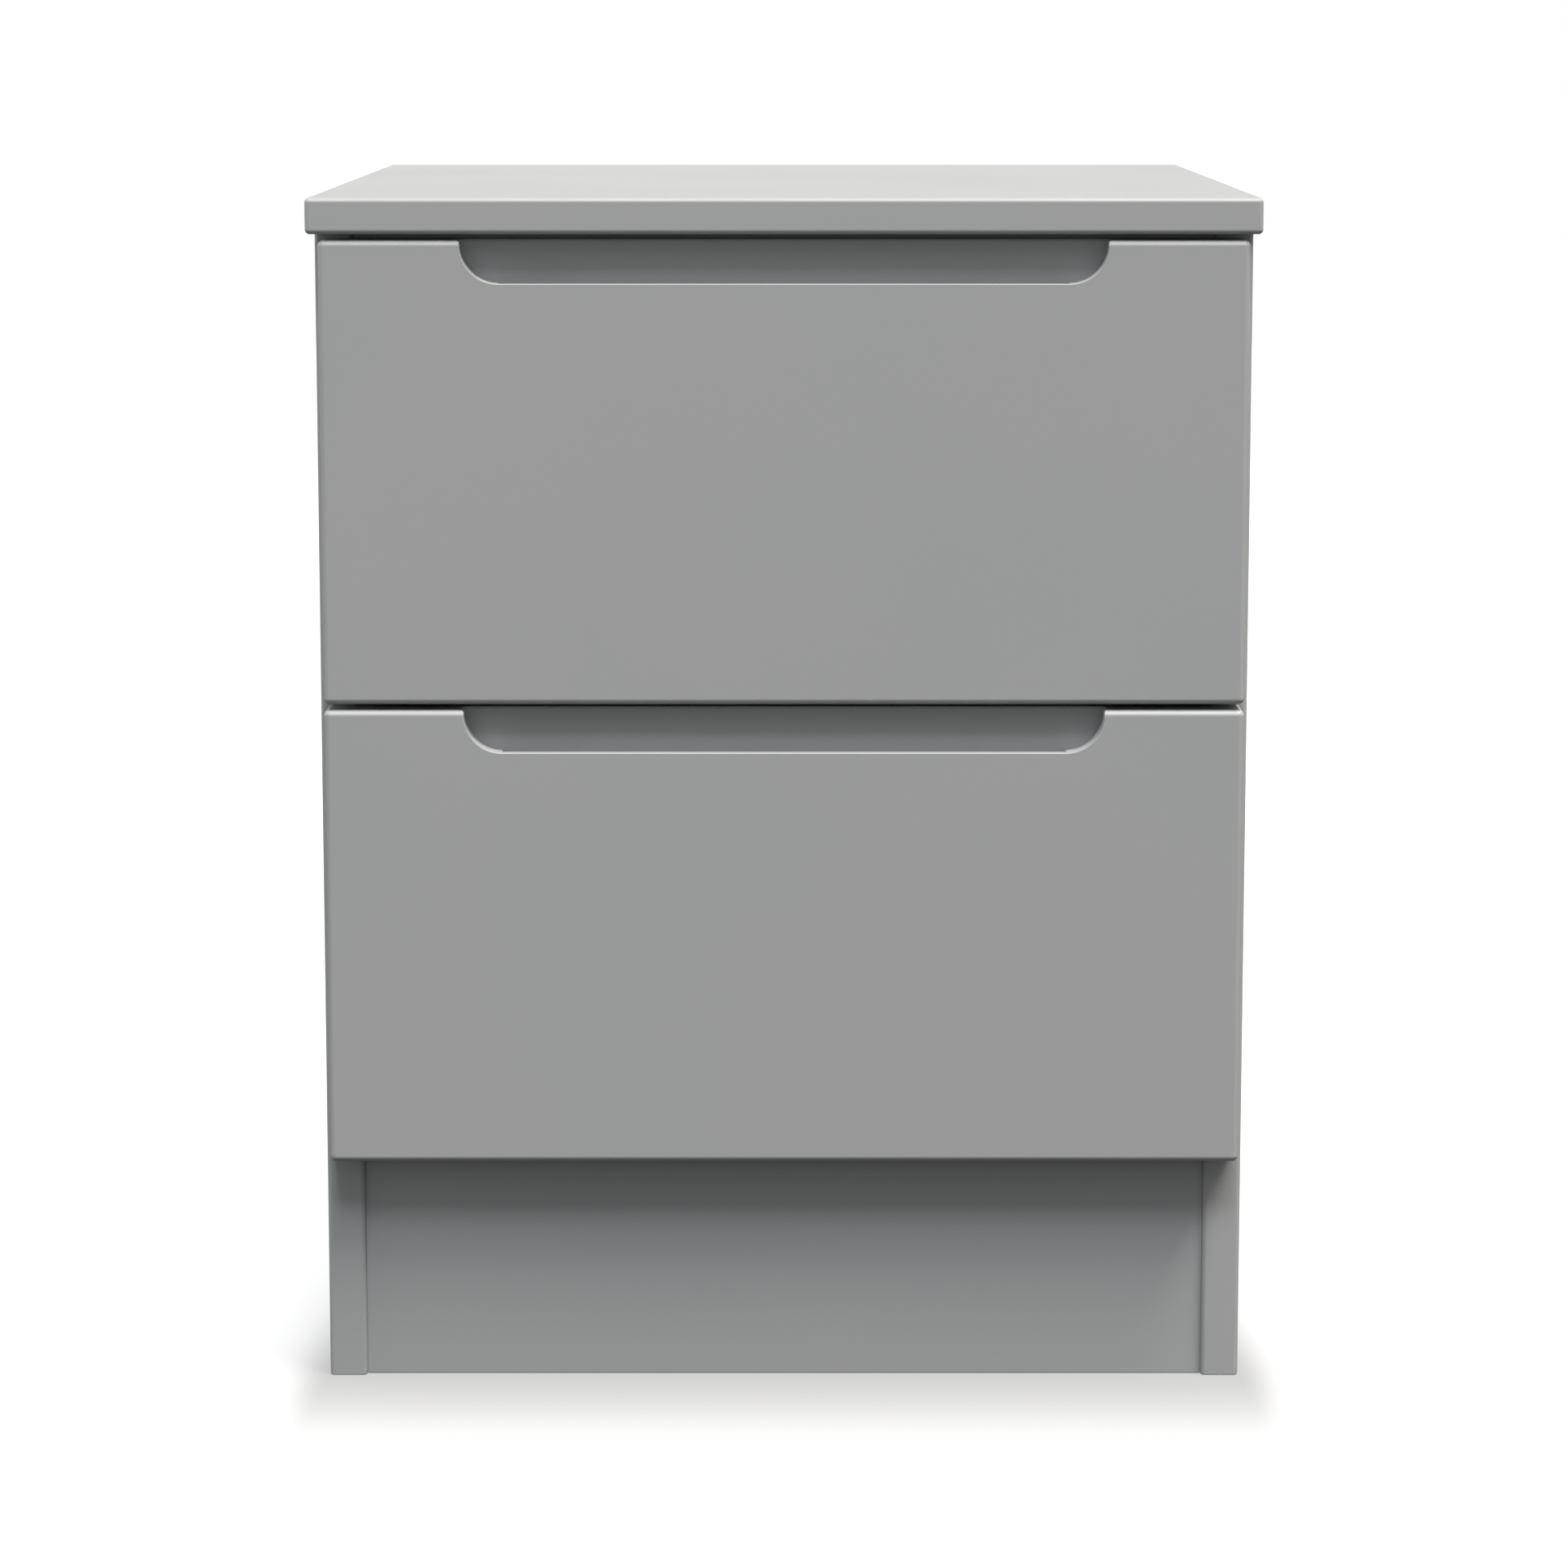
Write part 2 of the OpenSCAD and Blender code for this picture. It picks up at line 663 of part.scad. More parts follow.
// The small cams open outwards, and their bolts come from the front
module at_small_cams(drawer) {
    translate([-box_x, front_back_y + CAM_REACH, box_z(drawer) + SMALL_CAM_Z])
        rotate([0, -90, 0]) rotate([0, 0, 180]) children();
}

module at_box_screws(drawer) {
    for (z = BOX_SCREW_Z)
        translate([-box_x, box_rear_y - box_t / 2, box_z(drawer) + z]) rotate([0, -90, 0]) children();
}

// Screws up through the bottom into the back, pointing down at their heads
module at_bottom_screws(drawer) {
    for (x = BOTTOM_SCREW_X)
        translate([x, box_rear_y - box_t / 2, box_z(drawer) + bottom_lift]) mirror([0, 0, 1]) children();
}

module drawer_holes(drawer) {
    at_pegs(drawer) cylinder(h = PEG_L + FIT, r = PEG_R);
    at_small_bolts(drawer) {
        translate([0, 0, -BOLT_EMBED]) cylinder(h = BOLT_EMBED + EPS, r = SMALL_BOLT_R);
        cylinder(h = CAM_REACH, r = SMALL_CHANNEL_R);
    }
    at_small_cams(drawer) translate([0, 0, -SMALL_CAM_DEPTH])
        cylinder(h = SMALL_CAM_DEPTH + EPS, r = SMALL_CAM_R);
    at_box_screws(drawer) flat_screw_hole(BOX_SCREW_R, BOX_SCREW_L);
}

// ---------- drawers ----------

// Outline of the handle recess in (x, z), open at the front's upper edge
module recess_outline(z_lip, z_top) {
    half = recess_w / 2;
    flare = 1.5;
    polygon(concat(
        arc_points(-half + recess_r, z_lip + recess_r, recess_r, 180, 270, 10),
        arc_points(half - recess_r, z_lip + recess_r, recess_r, 270, 360, 10),
        [[half, z_top - flare], [half + flare, z_top], [half + flare, z_top + EPS]],
        [[-half - flare, z_top + EPS], [-half - flare, z_top], [-half, z_top - flare]]
    ));
}

module drawer_front(drawer) {
    z0 = front_z(drawer);
    z1 = z0 + front_h;
    z_lip = z1 - recess_h;
    groove_y0 = front_face_y + lip_t;
    groove_y1 = front_face_y + recess_d;
    groove_r = (groove_y1 - groove_y0) / 2 - 0.1;
    groove_x = recess_w / 2 - recess_r;
    color(FOIL) difference() {
        intersection() {
            along_z(z0, z1) polygon(rounded_rect(-front_w / 2, front_face_y, front_w / 2, front_back_y,
                [front_r, front_r, 0, 0]));
            along_x(-front_w / 2, front_w / 2) polygon(rounded_rect(front_face_y, z0, front_back_y, z1,
                [front_r, 0, 0, front_r]));
        }
        along_y(front_face_y - EPS, groove_y1) recess_outline(z_lip, z1);
        along_x(-groove_x, groove_x) polygon(rounded_rect(groove_y0, z_lip - groove_d, groove_y1,
            z_lip + EPS, [groove_r, groove_r, 0, 0]));
        both_sides() drawer_holes(drawer);
        drawer_bottom_space(drawer);
    }
}

// The grooves that hold a drawer's bottom in its front and its sides
module drawer_bottom_space(drawer) {
    z = box_z(drawer) + bottom_lift;
    edge_x = box_inner_x + BOTTOM_TONGUE + GROOVE_FIT;
    block(-edge_x, edge_x, front_back_y - BOTTOM_TONGUE - GROOVE_FIT, box_rear_y + EPS,
        z - GROOVE_FIT, z + bottom_t + GROOVE_FIT);
}

module drawer_side(drawer, right) {
    z = box_z(drawer);
    on_side(right) color(FOIL) difference() {
        along_y(front_back_y, box_rear_y)
            polygon(rounded_rect(-box_x, z, -box_inner_x, z + box_h, [0, 0, BOX_EDGE_R, BOX_EDGE_R]));
        drawer_holes(drawer);
        drawer_bottom_space(drawer);
        at_runner(drawer) at_under_screws() cylinder(h = UNDER_SCREW_L, r = UNDER_SCREW_R);
    }
}

module drawer_back(drawer) {
    z = box_z(drawer);
    color(FOIL) difference() {
        along_x(-box_inner_x, box_inner_x)
            polygon(rounded_rect(box_rear_y - box_t, z + bottom_lift + bottom_t,
                box_rear_y, z + box_h, [0, 0, BOX_EDGE_R, BOX_EDGE_R]));
        both_sides() drawer_holes(drawer);
        at_bottom_screws(drawer) translate([0, 0, -BOTTOM_SCREW_L - FIT])
            cylinder(h = BOTTOM_SCREW_L + EPS, r = BOTTOM_SCREW_R);
    }
}

module drawer_bottom(drawer) {
    z = box_z(drawer) + bottom_lift;
    edge_x = box_inner_x + BOTTOM_TONGUE;
    color(FOIL) difference() {
        block(-edge_x, edge_x, front_back_y - BOTTOM_TONGUE, box_rear_y, z, z + bottom_t);
        at_bottom_screws(drawer) translate([0, 0, -bottom_t - EPS])
            cylinder(h = bottom_t + 2 * EPS, r = BOTTOM_SCREW_R);
    }
}

module drawer_dowels(drawer) {
    color(BEECH) both_sides() at_pegs(drawer) dowel(PEG_R, PEG_L);
}

module drawer_cam_bolts(drawer) {
    color(ZINC) both_sides() at_small_bolts(drawer) cam_bolt(SMALL_BOLT_R, CAM_REACH);
}

module drawer_cam_locks(drawer) {
    color(ZINC) both_sides() at_small_cams(drawer)
        cam_lock(SMALL_CAM_R, SMALL_CAM_DEPTH, box_t / 2, SMALL_BOLT_R + 0.4);
}

module drawer_box_screws(drawer) {
    color(ZINC) both_sides() at_box_screws(drawer) flat_screw(BOX_SCREW_R, BOX_SCREW_L);
}

module drawer_bottom_screws(drawer) {
    color(ZINC) at_bottom_screws(drawer)
        pan_screw(BOTTOM_SCREW_R, BOTTOM_SCREW_L, BOTTOM_SCREW_HEAD_R, BOTTOM_SCREW_HEAD_T);
}

module drawer_bumpers(drawer) {
    z0 = front_z(drawer);
    color(CLEAR_RUBBER) both_sides() for (z = [z0 + BUMPER_INSET, z0 + front_h - BUMPER_INSET])
        rod_y(-panel_mid_x, front_back_y, front_back_y + BUMPER_T, z, BUMPER_R);
}

// ---------- nodes ----------

top_panel();
side_panel(false);  // left_side_panel
side_panel(true);  // right_side_panel
base_panel();
plinth();
back_panel();
top_rail(front_rail_y);  // front_top_rail
top_rail(rear_rail_y);  // rear_top_rail
plinth_blocks();
plinth_block_screws();
carcass_dowels();
cam_bolts();
cam_locks();
back_panel_nails();
cabinet_runner(UPPER, false);  // upper_left_cabinet_runner
cabinet_runner(UPPER, true);  // upper_right_cabinet_runner
cabinet_runner(LOWER, false);  // lower_left_cabinet_runner
cabinet_runner(LOWER, true);  // lower_right_cabinet_runner
front_roller(UPPER, false);  // upper_left_front_roller
front_roller(UPPER, true);  // upper_right_front_roller
front_roller(LOWER, false);  // lower_left_front_roller
front_roller(LOWER, true);  // lower_right_front_roller
front_roller_axles();
cabinet_runner_screws();
drawer_front(UPPER);  // upper_drawer_front
drawer_side(UPPER, false);  // upper_drawer_left_side
drawer_side(UPPER, true);  // upper_drawer_right_side
drawer_back(UPPER);  // upper_drawer_back
drawer_bottom(UPPER);  // upper_drawer_bottom
drawer_dowels(UPPER);  // upper_drawer_dowels
drawer_cam_bolts(UPPER);  // upper_drawer_cam_bolts
drawer_cam_locks(UPPER);  // upper_drawer_cam_locks
drawer_box_screws(UPPER);  // upper_drawer_box_screws
drawer_bottom_screws(UPPER);  // upper_drawer_bottom_screws
drawer_runner(UPPER, false);  // upper_drawer_left_runner
drawer_runner(UPPER, true);  // upper_drawer_right_runner
rear_roller(UPPER, false);  // upper_left_rear_roller
rear_roller(UPPER, true);  // upper_right_rear_roller
rear_roller_axles(UPPER);  // upper_rear_roller_axles
drawer_runner_screws(UPPER);  // upper_drawer_runner_screws
drawer_bumpers(UPPER);  // upper_drawer_bumpers
drawer_front(LOWER);  // lower_drawer_front
drawer_side(LOWER, false);  // lower_drawer_left_side
drawer_side(LOWER, true);  // lower_drawer_right_side
drawer_back(LOWER);  // lower_drawer_back
drawer_bottom(LOWER);  // lower_drawer_bottom
drawer_dowels(LOWER);  // lower_drawer_dowels
drawer_cam_bolts(LOWER);  // lower_drawer_cam_bolts
drawer_cam_locks(LOWER);  // lower_drawer_cam_locks
drawer_box_screws(LOWER);  // lower_drawer_box_screws
drawer_bottom_screws(LOWER);  // lower_drawer_bottom_screws
drawer_runner(LOWER, false);  // lower_drawer_left_runner
drawer_runner(LOWER, true);  // lower_drawer_right_runner
rear_roller(LOWER, false);  // lower_left_rear_roller
rear_roller(LOWER, true);  // lower_right_rear_roller
rear_roller_axles(LOWER);  // lower_rear_roller_axles
drawer_runner_screws(LOWER);  // lower_drawer_runner_screws
drawer_bumpers(LOWER);  // lower_drawer_bumpers
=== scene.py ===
# %% [markdown]
# # A bedside cabinet with two drawers, dressed board by board
#
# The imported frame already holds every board, runner and screw at its true size and place.
# This lesson gives each of them the shape that a camera notices, such as softened edges, rolled
# steel, threads and moulded nylon, and a finish made of nodes. Everything stays in metres and in
# the frame's own coordinates, so a piece is drawn straight where it belongs.

# %% Load the frame
import json
import math

import bmesh
import bpy
import numpy as np
from mathutils import Matrix, Vector


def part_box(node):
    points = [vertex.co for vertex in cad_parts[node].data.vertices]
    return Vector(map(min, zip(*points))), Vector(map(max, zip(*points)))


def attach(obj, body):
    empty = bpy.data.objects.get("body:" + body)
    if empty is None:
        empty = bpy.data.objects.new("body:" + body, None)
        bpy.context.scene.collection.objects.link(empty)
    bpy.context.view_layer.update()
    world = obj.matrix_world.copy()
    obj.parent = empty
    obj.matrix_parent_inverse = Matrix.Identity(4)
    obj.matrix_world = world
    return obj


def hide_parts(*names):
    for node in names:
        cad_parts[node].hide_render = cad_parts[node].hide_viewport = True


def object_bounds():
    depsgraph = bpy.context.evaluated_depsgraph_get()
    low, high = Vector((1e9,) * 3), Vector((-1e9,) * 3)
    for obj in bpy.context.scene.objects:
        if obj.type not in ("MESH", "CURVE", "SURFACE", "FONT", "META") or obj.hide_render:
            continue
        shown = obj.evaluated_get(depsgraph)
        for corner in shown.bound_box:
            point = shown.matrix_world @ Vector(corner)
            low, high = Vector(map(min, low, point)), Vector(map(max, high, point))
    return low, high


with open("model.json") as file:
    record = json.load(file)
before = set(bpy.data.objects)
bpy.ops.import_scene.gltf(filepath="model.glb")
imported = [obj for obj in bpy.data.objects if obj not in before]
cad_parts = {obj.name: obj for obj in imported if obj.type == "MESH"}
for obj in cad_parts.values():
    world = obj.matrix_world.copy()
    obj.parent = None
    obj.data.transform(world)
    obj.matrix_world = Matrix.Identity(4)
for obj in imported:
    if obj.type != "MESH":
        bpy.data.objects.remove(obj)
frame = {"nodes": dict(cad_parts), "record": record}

CAD_BOX = [list(corner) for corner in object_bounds()]
RECORD = frame["record"]
BODY_OF = {n: body for body, nodes in RECORD["behaviour"]["bodies"].items() for n in nodes}
BOTH, SIDES = ("upper", "lower"), ("left", "right")
print("the cabinet's box in metres:", [[round(v, 4) for v in corner] for corner in CAD_BOX])

# %% [markdown]
# ## The studio
#
# The cabinet is seen square from the front, from a little above its top, with a long lens. The
# camera tilts down slightly and its lens is shifted a touch, so that the cabinet stands in the
# middle of the frame and its uprights stay nearly parallel.

# %% Camera
CAMERA_DISTANCE = 1.883
CAMERA_HEIGHT = 0.581
CAMERA_TILT = math.radians(8.05)

camera = bpy.data.objects.new("studio_camera", bpy.data.cameras.new("studio_camera"))
camera.data.sensor_width = 36
camera.data.lens = 104.7
camera.data.shift_y = -0.08
camera.location = (0, CAD_BOX[0][1] - CAMERA_DISTANCE, CAMERA_HEIGHT)
camera.rotation_euler = (math.pi / 2 - CAMERA_TILT, 0, 0)
bpy.context.scene.collection.objects.link(camera)
bpy.context.scene.camera = camera
bpy.context.scene.view_settings.view_transform = "Standard"
print("camera at", [round(v, 3) for v in camera.location], "with a lens of", camera.data.lens, "mm")

# %% [markdown]
# ## Helpers for nodes
#
# Every finish and every light below is a small tree of nodes. One helper adds a node and fills
# or links its sockets in one go, and a few more add a line of arithmetic, a change of range or
# a mix of two colours. That keeps each tree short enough to read.


# %% Add a node
def add_node(tree, kind, sockets=None, **settings):
    """Adds a node, sets its properties, and fills its sockets with values or links."""
    made = tree.nodes.new(kind)
    for name, value in settings.items():
        setattr(made, name, value)
    for key, value in (sockets or {}).items():
        if isinstance(value, bpy.types.NodeSocket):
            tree.links.new(value, made.inputs[key])
        else:
            made.inputs[key].default_value = value
    return made


def calculate(tree, operation, *values):
    """One line of arithmetic between sockets or numbers."""
    kind = "ShaderNodeMath"
    return add_node(tree, kind, dict(enumerate(values)), operation=operation).outputs[0]


def rescaled(tree, value, low, high, to_low=0.0, to_high=1.0):
    """Maps one range of values onto another, and stops at its ends."""
    sockets = {0: value, 1: low, 2: high, 3: to_low, 4: to_high}
    return add_node(tree, "ShaderNodeMapRange", sockets).outputs[0]


def mixed_colour(tree, share, first, second):
    """One colour that passes into another as the share grows."""
    sockets = {0: share, 6: first, 7: second}
    return add_node(tree, "ShaderNodeMix", sockets, data_type="RGBA").outputs[2]


def live_output(node):
    """The output that a node offers for its present data type."""
    return next(socket for socket in node.outputs if socket.enabled)


def new_tree(name, kind, inputs, outputs):
    """A node group with named inputs and outputs."""
    tree = bpy.data.node_groups.new(name, kind)
    for label, socket, value in inputs:
        made = tree.interface.new_socket(label, in_out="INPUT", socket_type=socket)
        if value is not None:
            made.default_value = value
    for label, socket in outputs:
        tree.interface.new_socket(label, in_out="OUTPUT", socket_type=socket)
    return tree, tree.nodes.new("NodeGroupInput").outputs, tree.nodes.new("NodeGroupOutput")


print("node helpers ready")

# %% [markdown]
# ## Light
#
# The light is that of a bright, soft studio. A pale room shines evenly from all round. The key
# light stands high on the right and is a little warm. A cooler and weaker softbox hangs in
# front, somewhat lower, and both throw the soft shadow of the lower front on the plinth. A faint
# overhead light and three weak ones at the left and behind keep the other sides readable. Suns
# are used because they are as strong at the floor as at the top, whatever the distance.

# %% Room
ROOM_LIGHT = 0.43
ROOM_TINT = (0.99, 1, 1.01, 1)
world = bpy.data.worlds.new("studio_room")
bpy.context.scene.world = world
world.use_nodes = True
room = world.node_tree
room.nodes.clear()
seen = add_node(room, "ShaderNodeBackground", {"Color": (1, 1, 1, 1), "Strength": 1.0})
felt = add_node(room, "ShaderNodeBackground", {"Color": ROOM_TINT, "Strength": ROOM_LIGHT})
ray = add_node(room, "ShaderNodeLightPath")
pick = add_node(room, "ShaderNodeMixShader", {0: ray.outputs["Is Camera Ray"]})
room.links.new(felt.outputs[0], pick.inputs[1])
room.links.new(seen.outputs[0], pick.inputs[2])
add_node(room, "ShaderNodeOutputWorld", {"Surface": pick.outputs[0]})
print("room light", ROOM_LIGHT)


# %% Lamps
def add_sun(name, azimuth, elevation, brightness, spread, colour=(1, 1, 1)):
    """A sun seen at an azimuth (0 is the front, 90 the right) and an elevation, in degrees."""
    lamp = bpy.data.objects.new(name, bpy.data.lights.new(name, "SUN"))
    a, e = math.radians(azimuth), math.radians(elevation)
    towards = Vector((math.sin(a) * math.cos(e), -math.cos(a) * math.cos(e), math.sin(e)))
    lamp.rotation_euler = towards.to_track_quat("Z", "Y").to_euler()
    lamp.data.energy = brightness * math.pi
    lamp.data.angle = math.radians(spread)
    lamp.data.color = colour
    bpy.context.scene.collection.objects.link(lamp)


WARM, COOL = (1.0, 0.945, 0.855), (0.97, 1.01, 1.06)
add_sun("key", 52, 66, 1.17, 21, WARM)
add_sun("front_softbox", 0, 57, 0.40, 15, COOL)
add_sun("overhead", 0, 80, 0.02, 40, WARM)
add_sun("left_fill", -90, 8, 0.24, 40)
add_sun("behind_left", 215, 8, 0.16, 40)
add_sun("behind_right", 145, 8, 0.16, 40)

# %% [markdown]
# ## Floor
#
# A plain pale floor, far larger than the cabinet. It shows the camera a bright white with a soft
# painted shadow round the cabinet's foot, darkest at the front, and it gives little light back to
# the cabinet, so the plinth keeps its shade under the drawers.

# %% Floor
FLOOR_SIZE = 12.0
FLOOR_DROP = 0.0003

floor_mesh = bpy.data.meshes.new("floor")
half = FLOOR_SIZE / 2
floor_corners = [(x * half, y * half, -FLOOR_DROP) for x, y in ((-1, -1), (1, -1), (1, 1), (-1, 1))]
floor_mesh.from_pydata(floor_corners, [], [(0, 1, 2, 3)])
floor = bpy.data.objects.new("floor", floor_mesh)
bpy.context.scene.collection.objects.link(floor)
print("floor", FLOOR_SIZE, "m square")

# %% Floor finish
OWN_LIGHT, SHARE_LIT = 0.90, 0.17  # how much the floor shines by itself, and how much it is lit
PAINTED_SHADOW_TONE, PAINTED_SHADOW_DEPTH = 0.84, 0.33  # the floor's tone inside its painted shadow, and how dark that painted shadow is
NEAR_FADE, WIDE_FADE = 1.0, 0.3  # how fast the painted shadow and the paler ring round it fade
FOOT = (CAD_BOX[1][0] - 0.002, -0.186)  # half the width of the foot, and where its front stands
# how far the painted shadow reaches to the sides, to the front and behind, in metres
SHADOW_REACH = {"side": 0.0135, "front": 0.071, "back": 0.087}
DIM_FLOOR = (0.05, 0.05, 0.05, 1)

floor_finish = bpy.data.materials.new("pale_floor")
floor_finish.use_nodes = True
tree = floor_finish.node_tree
tree.nodes.clear()
place = add_node(tree, "ShaderNodeTexCoord").outputs["Object"]
apart = add_node(tree, "ShaderNodeSeparateXYZ", {0: place})
across = calculate(tree, "SUBTRACT", calculate(tree, "ABSOLUTE", apart.outputs[0]), FOOT[0])
across = calculate(tree, "DIVIDE", calculate(tree, "MAXIMUM", across, 0.0), SHADOW_REACH["side"])
past = calculate(tree, "SUBTRACT", apart.outputs[1], FOOT[1])
behind = calculate(tree, "DIVIDE", past, SHADOW_REACH["back"])
before = calculate(tree, "DIVIDE", past, -SHADOW_REACH["front"])
along = calculate(tree, "MAXIMUM", behind, before)
away = calculate(
    tree, "ADD", calculate(tree, "POWER", across, 2.0), calculate(tree, "POWER", along, 2.0)
)
near = calculate(tree, "EXPONENT", calculate(tree, "MULTIPLY", away, -NEAR_FADE))
wide = calculate(tree, "EXPONENT", calculate(tree, "MULTIPLY", away, -WIDE_FADE))
# the floor round the foot is darkened here by a painted shadow, not by the lamps
painted_shadow = calculate(tree, "SUBTRACT", 1.0, calculate(tree, "MULTIPLY", near, PAINTED_SHADOW_DEPTH))
painted_shadow = calculate(tree, "MULTIPLY", painted_shadow, PAINTED_SHADOW_TONE)
lift = calculate(tree, "MULTIPLY", calculate(tree, "SUBTRACT", 1.0, wide), 1.0 - PAINTED_SHADOW_TONE)
bright = calculate(tree, "ADD", painted_shadow, lift)
glow = add_node(tree, "ShaderNodeEmission", {0: bright, 1: OWN_LIGHT})
lit = add_node(
    tree, "ShaderNodeBsdfDiffuse", {"Color": calculate(tree, "MULTIPLY", bright, SHARE_LIT)}
)
paper = add_node(tree, "ShaderNodeAddShader", {0: glow.outputs[0], 1: lit.outputs[0]})
dim = add_node(tree, "ShaderNodeBsdfDiffuse", {"Color": DIM_FLOOR})
ray = add_node(tree, "ShaderNodeLightPath")
pick = add_node(tree, "ShaderNodeMixShader", {0: ray.outputs["Is Camera Ray"]})
tree.links.new(dim.outputs[0], pick.inputs[1])
tree.links.new(paper.outputs[0], pick.inputs[2])
add_node(tree, "ShaderNodeOutputMaterial", {"Surface": pick.outputs[0]})
floor_mesh.materials.append(floor_finish)
print("floor finish ready")

# %% [markdown]
# ## Shared effects
#
# Paint, foil, steel and wood share a few effects: a fine texture that the light just catches, a
# slow drift of colour, and rounded edges of another tone, partly wear and partly a painted
# highlight that makes the foil's edges paler. Each is a
# shader group with named inputs, built once. The groups give out only colours, masks and
# heights, and each material below feeds them to its own shader.

# %% Fine texture
FLOAT, COLOUR, VECTOR = "NodeSocketFloat", "NodeSocketColor", "NodeSocketVector"

fine_texture, given, out = new_tree(
    "fine_texture",
    "ShaderNodeTree",
    [("Scale", FLOAT, 900.0), ("Stretch", VECTOR, (1, 1, 1)), ("Detail", FLOAT, 3.0)],
    [("Height", FLOAT), ("Patches", FLOAT)],
)
place = add_node(fine_texture, "ShaderNodeTexCoord").outputs["Object"]
pulled = add_node(fine_texture, "ShaderNodeMapping", {0: place, 3: given["Stretch"]}).outputs[0]
fine = add_node(
    fine_texture,
    "ShaderNodeTexNoise",
    {"Vector": pulled, "Scale": given["Scale"], "Detail": given["Detail"]},
)
slow = add_node(fine_texture, "ShaderNodeTexNoise", {"Vector": pulled, "Scale": 9.0, "Detail": 4.0})
fine_texture.links.new(fine.outputs["Fac"], out.inputs["Height"])
fine_texture.links.new(slow.outputs["Fac"], out.inputs["Patches"])
print("group", fine_texture.name)

# %% Colour drift
colour_drift, given, out = new_tree(
    "colour_drift",
    "ShaderNodeTree",
    [
        ("Color", COLOUR, (1, 1, 1, 1)),
        ("Other Color", COLOUR, (1, 1, 1, 1)),
        ("Scale", FLOAT, 6.0),
        ("Stretch", VECTOR, (1, 1, 1)),
        ("Contrast", FLOAT, 0.2),
    ],
    [("Color", COLOUR)],
)
place = add_node(colour_drift, "ShaderNodeTexCoord").outputs["Object"]
pulled = add_node(colour_drift, "ShaderNodeMapping", {0: place, 3: given["Stretch"]}).outputs[0]
noise = add_node(
    colour_drift, "ShaderNodeTexNoise", {"Vector": pulled, "Scale": given["Scale"], "Detail": 5.0}
)
low = calculate(colour_drift, "SUBTRACT", 0.5, given["Contrast"])
high = calculate(colour_drift, "ADD", 0.5, given["Contrast"])
share = rescaled(colour_drift, noise.outputs["Fac"], low, high)
mixed = mixed_colour(colour_drift, share, given["Color"], given["Other Color"])
colour_drift.links.new(mixed, out.inputs["Color"])
print("group", colour_drift.name)

# %% Edge wear and painted highlight
worn_edges, given, out = new_tree(
    "worn_edges",
    "ShaderNodeTree",
    [
        ("Color", COLOUR, (1, 1, 1, 1)),
        ("Edge Color", COLOUR, (1, 1, 1, 1)),
        ("Roughness", FLOAT, 0.4),
        ("Edge Roughness", FLOAT, 0.3),
        ("Amount", FLOAT, 0.3),
        ("Scale", FLOAT, 60.0),
    ],
    [("Color", COLOUR), ("Roughness", FLOAT)],
)
place = add_node(worn_edges, "ShaderNodeTexCoord").outputs["Object"]
edge = add_node(worn_edges, "ShaderNodeAttribute", attribute_name="edge").outputs["Fac"]
edge_patches = add_node(
    worn_edges, "ShaderNodeTexNoise", {"Vector": place, "Scale": given["Scale"], "Detail": 3.0}
).outputs["Fac"]
edge_patches = rescaled(worn_edges, edge_patches, 0.35, 0.7)
# The edge mask moves the colour toward the edge colour: wear, and where that colour is paler, a
# painted highlight.
mask = calculate(worn_edges, "MULTIPLY", edge, edge_patches)
mask = calculate(worn_edges, "MULTIPLY", mask, given["Amount"])
mixed = mixed_colour(worn_edges, mask, given["Color"], given["Edge Color"])
rough = add_node(
    worn_edges, "ShaderNodeMix", {0: mask, 2: given["Roughness"], 3: given["Edge Roughness"]}
)
worn_edges.links.new(mixed, out.inputs["Color"])
worn_edges.links.new(rough.outputs[0], out.inputs["Roughness"])
print("group", worn_edges.name)


# %% [markdown]
# ## Coated finishes
#
# The grey foil on the boards, the paler foil of the drawer boxes, the epoxy on the runners and
# the moulded nylon are all smooth coats that differ only in numbers: two near colours that drift
# into each other, a roughness that wanders slightly, a fine texture of a given size and depth,
# and how much the edges show, as wear and, on the foils, a painted highlight. One function builds
# them all from the shared groups.


# %% A smooth coat
def placed(tree, group, sockets):
    """A shared group's outputs, with its named inputs filled."""
    made = add_node(tree, "ShaderNodeGroup", node_tree=group)
    for key, value in sockets.items():
        if isinstance(value, bpy.types.NodeSocket):
            tree.links.new(value, made.inputs[key])
        else:
            made.inputs[key].default_value = value
    return made.outputs


def start_material(name, metallic=0.0, ior=1.5):
    """A material with one Principled shader and nothing else."""
    material = bpy.data.materials.new(name)
    material.use_nodes = True
    tree = material.node_tree
    shader = tree.nodes["Principled BSDF"]
    shader.inputs["Metallic"].default_value = metallic
    shader.inputs["IOR"].default_value = ior
    return material, tree, shader


def rgb(red, green, blue):
    return (red, green, blue, 1.0)


def add_bump(tree, shader, height, strength, distance):
    """Lets a height tilt the surface that the shader sees."""
    sockets = {"Strength": strength, "Distance": distance, "Height": height}
    bump = add_node(tree, "ShaderNodeBump", sockets)
    tree.links.new(bump.outputs[0], shader.inputs["Normal"])


